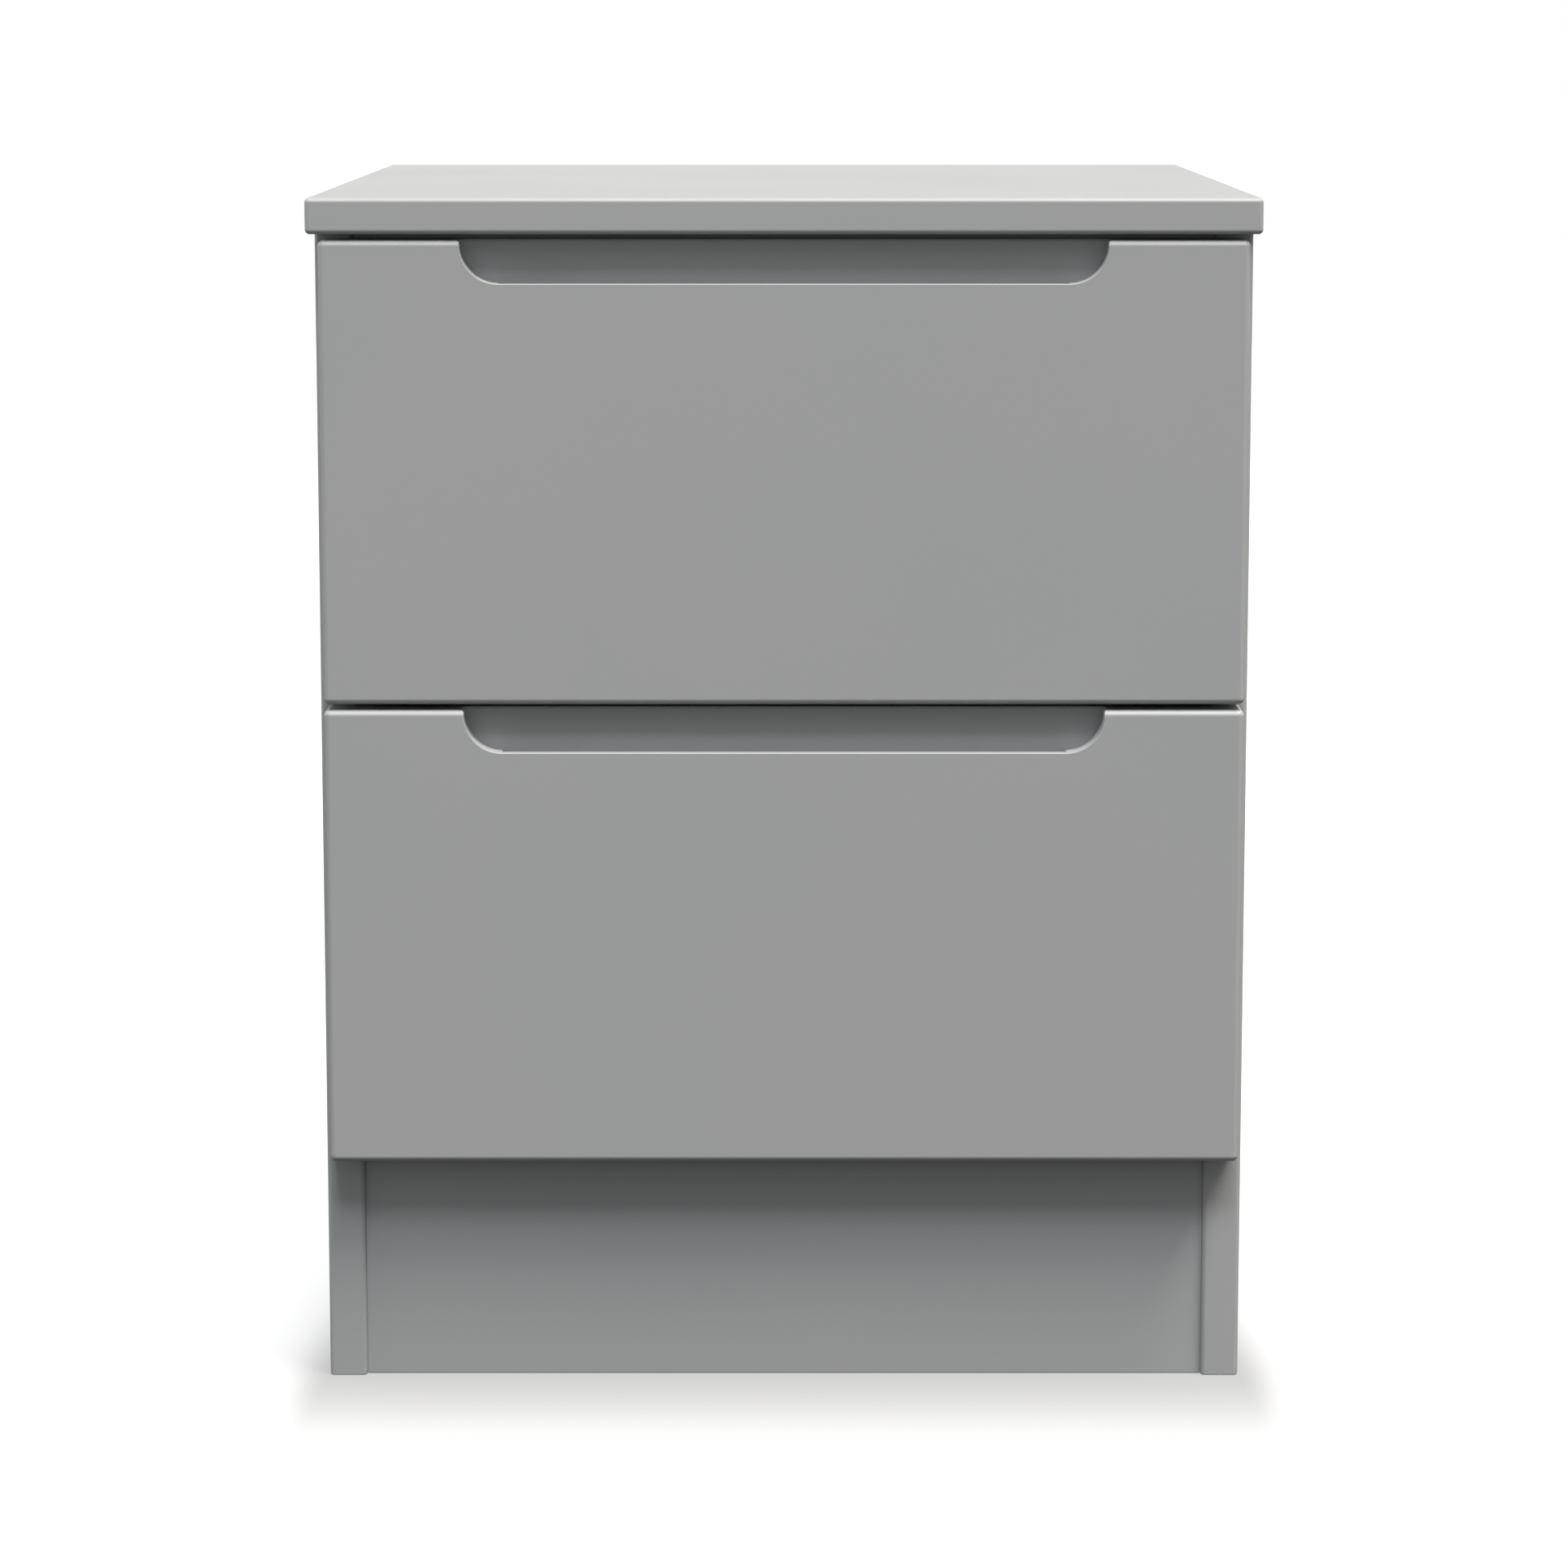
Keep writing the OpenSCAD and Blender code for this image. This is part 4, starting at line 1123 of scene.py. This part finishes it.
def drawer_member(drawer, side):
    """A hooked strip under the box, with its outer flange cut short at the back."""
    node = f"{drawer}_drawer_{side}_runner"
    low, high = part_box(node)
    place_x = inwards(side)
    zero = low.z + 0.0102
    section = [(u, zero + z) for u, z in MEMBER_SECTION]
    piece = rolled(f"{drawer}_{side}_member", section, low.y, high.y, place_x)
    tail = (high.y - FLANGE_SHORT, high.y + 0.01)
    cut(piece, block_at(place_x, (0.0, 0.0112), tail, (zero + 0.005, zero + 0.03)))
    return piece, node


roll_all(drawer_member)

# %% [markdown]
# ## Nylon rollers
#
# A roller is moulded nylon: a running face with broken corners, a thin web and a hub round its
# rivet. It is a turned shape, so one closed outline is spun about the roller's axis. Each roller
# is a body of its own, because it turns as its drawer slides.


# %% Turned shapes
def turned(profile, sides=40, closed=False):
    """Spins (radius, height) points about Z. A radius of 0 is a pole."""
    shape = bmesh.new()
    rings = []
    for radius, z in profile:
        turns = [2 * math.pi * k / sides for k in range(sides)] if radius > 0 else [0.0]
        rings.append(
            [shape.verts.new((radius * math.cos(t), radius * math.sin(t), z)) for t in turns]
        )
    pairs = list(zip(rings, rings[1:]))
    if closed:
        pairs.append((rings[-1], rings[0]))
    for a, b in pairs:
        for k in range(sides):
            n = (k + 1) % sides
            ring = [a[k % len(a)], a[n % len(a)], b[n % len(b)], b[k % len(b)]]
            shape.faces.new(list(dict.fromkeys(ring)))
    return shape


def smooth(piece, angle=35):
    """Shades smoothly, with edges sharper than an angle kept crisp."""
    piece.data.shade_smooth()
    piece.data.set_sharp_from_angle(angle=math.radians(angle))
    return piece


# %% Rollers
BORE = 0.00203


def roller_profile(radius, width):
    """A closed outline from the bore outwards, with a thin web between hub and rim."""
    rim, hub, web, c = radius - 0.0022, 0.0050, 0.0011, 0.0005
    return [
        (BORE, 0.0), (hub - 0.0002, 0.0), (hub, 0.0002), (hub + 0.0001, web), (rim - 0.0002, web),
        (rim, 0.0002), (rim + 0.0002, 0.0), (radius - c, 0.0), (radius - c * 0.3, c * 0.3),
        (radius, c), (radius, width - c), (radius - c * 0.3, width - c * 0.3), (radius - c, width),
        (rim + 0.0002, width), (rim, width - 0.0002), (rim - 0.0002, width - web),
        (hub + 0.0001, width - web), (hub, width - 0.0002), (hub - 0.0002, width),
        (0.0043, width), (0.0042, width - 0.0012), (BORE, width - 0.0012),
    ]


for drawer in BOTH:
    for side in SIDES:
        for end in ("front", "rear"):
            node = f"{drawer}_{side}_{end}_roller"
            low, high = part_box(node)
            centre = (low + high) / 2
            width = high.x - low.x
            inward = (side == "left") == (end == "front")
            shape = turned(roller_profile((high.z - low.z) / 2, width), 56, closed=True)
            turn = Matrix.Rotation(math.pi / 2 if inward else -math.pi / 2, 4, "Y")
            start = Vector((low.x if inward else high.x, centre.y, centre.z))
            bmesh.ops.transform(shape, matrix=Matrix.Translation(start) @ turn, verts=shape.verts)
            roller = smooth(from_shape(f"{node}_moulding", shape, white_nylon))
            hand_over(roller, node)
print("rollers: 8, each", round(width * 1000, 1), "mm wide")

# %% [markdown]
# ## Finding each fastener
#
# A node such as the runner screws holds many screws. Their places aren't typed in: the node's
# mesh is split into its separate solids, and each solid says where its axis is, how long it is,
# and which end is the head, because the head is wider.


# %% Split a node
def solids_of(node):
    """The corners of each separate solid in a node, as arrays."""
    shape = bmesh.new()
    shape.from_mesh(frame["nodes"][node].data)
    bmesh.ops.remove_doubles(shape, verts=shape.verts, dist=2e-6)
    shape.verts.ensure_lookup_table()
    seen, found = set(), []
    for start in shape.verts:
        if start.index in seen:
            continue
        seen.add(start.index)
        group, queue = [], [start]
        while queue:
            here = queue.pop()
            group.append(tuple(here.co))
            for edge in here.link_edges:
                other = edge.other_vert(here)
                if other.index not in seen:
                    seen.add(other.index)
                    queue.append(other)
        found.append(np.array(group))
    shape.free()
    return found


def place_of(points, narrow_neck=False):
    """Where a solid's head is, which way it faces, its length, head radius and shank radius."""
    low, high = points.min(0), points.max(0)
    axis = int(np.argmax(high - low))
    centre, length = (low + high) / 2, (high - low)[axis]
    across = [i for i in range(3) if i != axis]
    radius = np.linalg.norm(points[:, across] - centre[across], axis=1)
    along = points[:, axis] - low[axis]
    if narrow_neck:
        up = np.mean(along[radius < 0.8 * radius.max()]) > length / 2
    else:
        up = radius[along > length * 0.75].max() > radius[along < length * 0.25].max()
    head = centre.copy()
    head[axis] = high[axis] if up else low[axis]
    facing = Vector([0.0, 0.0, 0.0])
    facing[axis] = 1.0 if up else -1.0
    middle = (along > length * 0.4) & (along < length * 0.6)
    shank = radius[along > length * 0.7].max() if not up else radius[along < length * 0.3].max()
    return {"head": Vector(head), "facing": facing, "length": float(length),
            "radius": float(radius.max()), "shank": float(shank)}


for node in ("cabinet_runner_screws", "cam_bolts", "upper_drawer_box_screws"):
    print(node, "solids:", len(solids_of(node)))

# %% [markdown]
# ## Setting fasteners out
#
# One fastener is modelled with its head at the origin and its shank going down. The tree puts a
# copy on each point, aims it with the point's stored rotation, and turns it about its own axis
# by a seeded amount, because a fitter never leaves all the crosses lined up.

# %% Set out tree
set_out_tree, given, out = new_geometry_tree(
    "set_out",
    [("Fastener", OBJECT, None), ("Turn", FLOAT, 3.0), ("Seed", "NodeSocketInt", 7)],
)
fastener = add_node(set_out_tree, "GeometryNodeObjectInfo", {"Object": given["Fastener"]})
aim = add_node(
    set_out_tree, "GeometryNodeInputNamedAttribute", {"Name": "aim"}, data_type="QUATERNION"
)
chance = add_node(
    set_out_tree,
    "FunctionNodeRandomValue",
    {"Seed": given["Seed"]},
    data_type="FLOAT",
)
angle = calculate(set_out_tree, "MULTIPLY", live_output(chance), given["Turn"])
spin = add_node(
    set_out_tree, "FunctionNodeAxisAngleToRotation", {"Axis": (0, 0, 1), "Angle": angle}
)
aimed = add_node(
    set_out_tree,
    "FunctionNodeRotateRotation",
    {"Rotation": live_output(aim), "Rotate By": spin.outputs[0]},
    rotation_space="LOCAL",
)
copies = add_node(
    set_out_tree,
    "GeometryNodeInstanceOnPoints",
    {
        "Points": given["Geometry"],
        "Instance": fastener.outputs["Geometry"],
        "Rotation": aimed.outputs[0],
    },
)
end_tree(set_out_tree, given, out, copies.outputs[0])
print("tree", set_out_tree.name)


# %% Set out a kind of fastener
def set_out(name, places, master, finish, seed=7, turn=3.0):
    """One mesh with a copy of the master at each place."""
    mesh = bpy.data.meshes.new(name)
    mesh.from_pydata([p["head"] for p in places], [], [])
    aims = mesh.attributes.new("aim", "QUATERNION", "POINT")
    for k, p in enumerate(places):
        aims.data[k].value = p["facing"].to_track_quat("Z", "Y")
    piece = new_object(name, mesh, finish)
    values = {"Fastener": master, "Turn": turn, "Seed": seed, "Material": finish}
    run_tree(piece, set_out_tree, values)
    make_plain(piece)
    return smooth(piece)


def join(name, pieces):
    """Several meshes with one finish, made one piece."""
    shape = bmesh.new()
    finish = pieces[0].data.materials[0]
    for piece in pieces:
        shape.from_mesh(piece.data)
        bpy.data.objects.remove(piece)
    mesh = bpy.data.meshes.new(name)
    shape.to_mesh(mesh)
    shape.free()
    return smooth(new_object(name, mesh, finish))


print("setting out ready")

# %% [markdown]
# ## Screws and bolts
#
# A screw is a turned blank with a cross pressed in its head, and a thread that winds down its
# core. The blank is spun from a few points, the cross is cut with a tapered plus, and the
# thread is a three sided line that a tree winds as a spiral of a given pitch.

# %% Thread tree
thread_tree, given, out = new_geometry_tree(
    "thread",
    [
        ("Core radius", FLOAT, 0.0014),
        ("Crest height", FLOAT, 0.0004),
        ("Pitch", FLOAT, 0.0014),
        ("Start", FLOAT, 0.002),
        ("Run", FLOAT, 0.01),
    ],
)
turns = calculate(thread_tree, "DIVIDE", given["Run"], given["Pitch"])
spiral = add_node(
    thread_tree,
    "GeometryNodeCurveSpiral",
    {
        "Resolution": 12,
        "Rotations": turns,
        "Start Radius": given["Core radius"],
        "End Radius": given["Core radius"],
        "Height": given["Run"],
    },
)
ridge = add_node(
    thread_tree,
    "GeometryNodeCurvePrimitiveCircle",
    {"Resolution": 3, "Radius": given["Crest height"]},
)
wound = add_node(
    thread_tree,
    "GeometryNodeCurveToMesh",
    {"Curve": spiral.outputs[0], "Profile Curve": ridge.outputs[0], "Fill Caps": True},
)
drop = calculate(thread_tree, "ADD", given["Start"], given["Run"])
drop = calculate(thread_tree, "MULTIPLY", drop, -1.0)
down = add_node(thread_tree, "ShaderNodeCombineXYZ", {"Z": drop})
moved = add_node(
    thread_tree,
    "GeometryNodeTransform",
    {"Geometry": wound.outputs[0], "Translation": down.outputs[0]},
)
both = add_node(thread_tree, "GeometryNodeJoinGeometry")
thread_tree.links.new(given["Geometry"], both.inputs[0])
thread_tree.links.new(moved.outputs[0], both.inputs[0])
end_tree(thread_tree, given, out, both.outputs[0])
print("tree", thread_tree.name)


# %% Cross recess
def cross_shape(reach, width, depth):
    """A tapered plus that cuts the driver's cross from above."""
    shape = bmesh.new()
    rings = []
    for z, share in ((0.0005, 1.0), (-depth, 0.45)):
        r, w = reach * share, width * (0.6 + 0.4 * share) / 2
        outline = [(w, w), (r, w), (r, -w), (w, -w), (w, -r), (-w, -r), (-w, -w), (-r, -w),
                   (-r, w), (-w, w), (-w, r), (w, r)]
        rings.append([shape.verts.new((x, y, z)) for x, y in outline])
    for k in range(12):
        n = (k + 1) % 12
        shape.faces.new([rings[0][k], rings[0][n], rings[1][n], rings[1][k]])
    shape.faces.new(rings[0])
    shape.faces.new(list(reversed(rings[1])))
    return shape


# %% Screw blanks
def screw(kind, head, head_height, shank, length):
    """A threaded screw with its head at the origin and its shank going down."""
    core = shank * 0.72
    tip = [(core, -length + 2.2 * core), (0.0, -length)]
    if kind == "domed":
        top = [(0.0, 0.0), (head * 0.45, -head_height * 0.04), (head * 0.75, -head_height * 0.22),
               (head * 0.93, -head_height * 0.52), (head, -head_height * 0.82),
               (head, -head_height), (shank * 0.95, -head_height)]
    else:
        top = [(0.0, 0.0), (head * 0.97, 0.0), (head, -0.00012), (shank, -head_height)]
    profile = top + [(core, -head_height - 0.0006)] + tip
    blank = from_shape("blank", turned(profile, 24), zinc)
    cut(blank, cross_shape(head * 0.52, head * 0.24, head * 0.42))
    start = head_height + 0.0008
    run = length - start - 1.6 * core
    sizes = {"Core radius": core, "Crest height": (shank - core) * 0.95, "Pitch": shank * 0.85,
             "Start": start, "Run": run, "Material": zinc}
    run_tree(blank, thread_tree, sizes)
    return make_plain(blank)


def screws(name, nodes, kind, head_height, seed):
    """Replaces the screws of a node with threaded ones of the same sizes."""
    for k, node in enumerate(nodes):
        places = [place_of(s) for s in solids_of(node)]
        p = places[0]
        master = screw(kind, p["radius"], head_height, p["shank"], p["length"])
        label = name if len(nodes) == 1 else f"{node.split('_')[0]}_{name}"
        piece = set_out(label, places, master, zinc, seed + k)
        bpy.data.objects.remove(master)
        hand_over(piece, node)
        print(piece.name, len(places), "screws of", round(p["length"] * 1000, 1), "mm")


screws("runner_screws", ["cabinet_runner_screws"], "domed", 0.0013, 3)
screws("block_screws", ["plinth_block_screws"], "flat", 0.0019, 11)
screws("box_screws", [f"{d}_drawer_box_screws" for d in BOTH], "flat", 0.0019, 21)
screws("bottom_screws", [f"{d}_drawer_bottom_screws" for d in BOTH], "domed", 0.0014, 31)
screws("member_screws", [f"{d}_drawer_runner_screws" for d in BOTH], "domed", 0.0014, 41)

# %% [markdown]
# ## Cam bolts and dowels
#
# A cam bolt has a thread in one board, a smooth shank, a narrow neck and a round head that the
# cam grips. A dowel is a beech peg with flutes that let the glue out, and a chamfer at each end.
# Its section follows one rule, so a tree makes it from a fluted ring drawn along a short line.

# %% Cam bolts
EMBEDDED = 0.011


def cam_bolt(radius, length):
    """A bolt with its head at the origin: head, neck, collar, shank and thread."""
    r, core = radius, radius * 0.78
    head_and_neck = [(0.0, 0.0), (r * 0.7, 0.0), (r, -0.0004), (r, -0.0016), (r * 0.6, -0.0020),
                     (r * 0.6, -0.0042), (r, -0.0046)]
    shank = [(r, -length + EMBEDDED), (core, -length + EMBEDDED), (core, -length + 0.0015)]
    profile = head_and_neck + shank + [(0.0, -length)]
    blank = from_shape("blank", turned(profile, 24), zinc)
    sizes = {"Core radius": core, "Crest height": (r - core) * 0.95, "Pitch": r * 0.6,
             "Start": length - EMBEDDED + 0.0004, "Run": EMBEDDED - 0.0022, "Material": zinc}
    run_tree(blank, thread_tree, sizes)
    return make_plain(blank)


def bolts(name, node):
    """Replaces a node's bolts, one master for each length."""
    places = [place_of(s, narrow_neck=True) for s in solids_of(node)]
    made = []
    for length in sorted({round(p["length"], 5) for p in places}):
        same = [p for p in places if round(p["length"], 5) == length]
        master = cam_bolt(same[0]["radius"], length)
        made.append(set_out(f"{name}_{len(made)}", same, master, zinc))
        bpy.data.objects.remove(master)
    hand_over(join(name, made), node)
    print(name, len(places), "bolts")


bolts("carcass_bolts", "cam_bolts")
for drawer in BOTH:
    bolts(f"{drawer}_front_bolts", f"{drawer}_drawer_cam_bolts")

# %% Fluted dowel tree
dowel_tree, given, out = new_geometry_tree(
    "fluted_dowel",
    [
        ("Radius", FLOAT, 0.004),
        ("Length", FLOAT, 0.03),
        ("Chamfer", FLOAT, 0.001),
        ("Flutes", "NodeSocketInt", 18),
        ("Flute depth", FLOAT, 0.0003),
    ],
)
points = calculate(dowel_tree, "MULTIPLY", given["Flutes"], 4.0)
ring = add_node(
    dowel_tree,
    "GeometryNodeCurvePrimitiveCircle",
    {"Resolution": points, "Radius": given["Radius"]},
)
place = add_node(dowel_tree, "GeometryNodeInputPosition").outputs[0]
apart = add_node(dowel_tree, "ShaderNodeSeparateXYZ", {0: place})
angle = calculate(dowel_tree, "ARCTAN2", apart.outputs[1], apart.outputs[0])
wave = calculate(dowel_tree, "COSINE", calculate(dowel_tree, "MULTIPLY", angle, given["Flutes"]))
wave = calculate(dowel_tree, "SUBTRACT", wave, 1.0)
depth = calculate(dowel_tree, "MULTIPLY", wave, given["Flute depth"])
depth = calculate(dowel_tree, "MULTIPLY", depth, 0.5)
share = calculate(dowel_tree, "DIVIDE", depth, given["Radius"])
inward = add_node(
    dowel_tree, "ShaderNodeVectorMath", {0: place, "Scale": share}, operation="SCALE"
)
fluted = add_node(
    dowel_tree,
    "GeometryNodeSetPosition",
    {"Geometry": ring.outputs[0], "Offset": inward.outputs[0]},
)
axis = add_node(
    dowel_tree, "GeometryNodeCurvePrimitiveLine", {"Start": (0, 0, 0), "End": (0, 0, -1)}
)
four = add_node(dowel_tree, "GeometryNodeResampleCurve", {"Curve": axis.outputs[0], "Count": 4})
index = add_node(dowel_tree, "GeometryNodeInputIndex").outputs[0]
past = calculate(dowel_tree, "GREATER_THAN", index, 1.5)
first = calculate(dowel_tree, "MULTIPLY", index, given["Chamfer"])
left = calculate(dowel_tree, "SUBTRACT", 3.0, index)
left = calculate(dowel_tree, "MULTIPLY", left, given["Chamfer"])
last = calculate(dowel_tree, "SUBTRACT", given["Length"], left)
way = add_node(dowel_tree, "ShaderNodeMix", {0: past, 2: first, 3: last}).outputs[0]
station = add_node(
    dowel_tree, "ShaderNodeCombineXYZ", {"Z": calculate(dowel_tree, "MULTIPLY", way, -1.0)}
)
spine = add_node(
    dowel_tree,
    "GeometryNodeSetPosition",
    {"Geometry": four.outputs[0], "Position": station.outputs[0]},
)
middle = calculate(dowel_tree, "COMPARE", index, 1.5, 0.6)
slim = calculate(dowel_tree, "DIVIDE", given["Chamfer"], given["Radius"])
narrow = calculate(dowel_tree, "SUBTRACT", 1.0, calculate(dowel_tree, "MULTIPLY", slim, 0.6))
width = add_node(dowel_tree, "ShaderNodeMix", {0: middle, 2: narrow, 3: 1.0}).outputs[0]
peg = add_node(
    dowel_tree,
    "GeometryNodeCurveToMesh",
    {
        "Curve": spine.outputs[0],
        "Profile Curve": fluted.outputs[0],
        "Scale": width,
        "Fill Caps": True,
    },
)
end_tree(dowel_tree, given, out, peg.outputs[0])
print("tree", dowel_tree.name)


# %% Dowels
def dowels(name, node, flutes):
    """Replaces a node's dowels with fluted ones."""
    places = [place_of(s) for s in solids_of(node)]
    p = places[0]
    master = new_object("peg", bpy.data.meshes.new("peg"), beech)
    sizes = {"Radius": p["radius"], "Length": p["length"], "Chamfer": 0.001, "Flutes": flutes,
             "Flute depth": 0.0004, "Material": beech}
    run_tree(master, dowel_tree, sizes)
    make_plain(master)
    piece = set_out(name, places, master, beech, seed=5)
    bpy.data.objects.remove(master)
    hand_over(piece, node)
    print(name, len(places), "dowels of", round(p["length"] * 1000, 1), "mm")


dowels("carcass_pegs", "carcass_dowels", 18)
for drawer in BOTH:
    dowels(f"{drawer}_front_pegs", f"{drawer}_drawer_dowels", 14)

# %% [markdown]
# ## Nails, cams, rivets and pads
#
# The nails have thin domed heads that show on the back. The cams and the rivets keep the
# frame's shapes, with broken edges. The pads are low clear domes that the fronts close on.

# %% Nails
def nail(radius, shank, length):
    """A wire nail with a thin domed head at the origin."""
    profile = [(0.0, 0.0), (radius * 0.6, -0.00010), (radius * 0.92, -0.00032), (radius, -0.00055),
               (radius * 0.96, -0.00078), (shank, -0.00085), (shank, -length + 3 * shank),
               (0.0, -length)]
    return from_shape("nail", turned(profile, 20), zinc)


nail_places = [place_of(s) for s in solids_of("back_panel_nails")]
one = nail_places[0]
master = nail(one["radius"], one["shank"], one["length"])
nails = set_out("back_nails", nail_places, master, zinc)
bpy.data.objects.remove(master)
hand_over(nails, "back_panel_nails")
print("nails:", len(nail_places))

# %% Cams and rivets
CAM_EDGE, RIVET_EDGE = 0.00025, 0.0002
METAL = {
    "cam_locks": ("carcass_cams", CAM_EDGE),
    "front_roller_axles": ("front_rivets", RIVET_EDGE),
    "upper_drawer_cam_locks": ("upper_front_cams", CAM_EDGE),
    "upper_rear_roller_axles": ("upper_rear_rivets", RIVET_EDGE),
    "lower_drawer_cam_locks": ("lower_front_cams", CAM_EDGE),
    "lower_rear_roller_axles": ("lower_rear_rivets", RIVET_EDGE),
}
for node, (name, width) in METAL.items():
    metal = board_from(node, name, zinc, width, segments=2)
    print(name, "faces:", len(metal.data.polygons))

# %% Pads
for drawer in BOTH:
    node = f"{drawer}_drawer_bumpers"
    places = []
    for points in solids_of(node):
        low, high = Vector(points.min(0)), Vector(points.max(0))
        tip = Vector(((low.x + high.x) / 2, high.y, (low.z + high.z) / 2))
        places.append({"head": tip, "facing": Vector((0, 1, 0))})
    r, t = (high.x - low.x) / 2, high.y - low.y
    dome = [(0.0, 0.0), (r * 0.4, -t * 0.05), (r * 0.7, -t * 0.2), (r * 0.9, -t * 0.5),
            (r, -t * 0.9), (r, -t), (0.0, -t)]
    master = from_shape("pad", turned(dome, 32), clear_pad)
    pads = set_out(f"{drawer}_pads", places, master, clear_pad)
    bpy.data.objects.remove(master)
    hand_over(pads, node)
print("pads:", len(places), "behind each front")

# %% [markdown]
# ## What is left
#
# The frame's nodes that no piece has replaced, and that still show as they came, are printed.
# The visual model must stay inside the frame's own box.

# %% Finish
left_over = [n for n, o in frame["nodes"].items() if not o.hide_render]
print("nodes still shown as they came:", left_over)
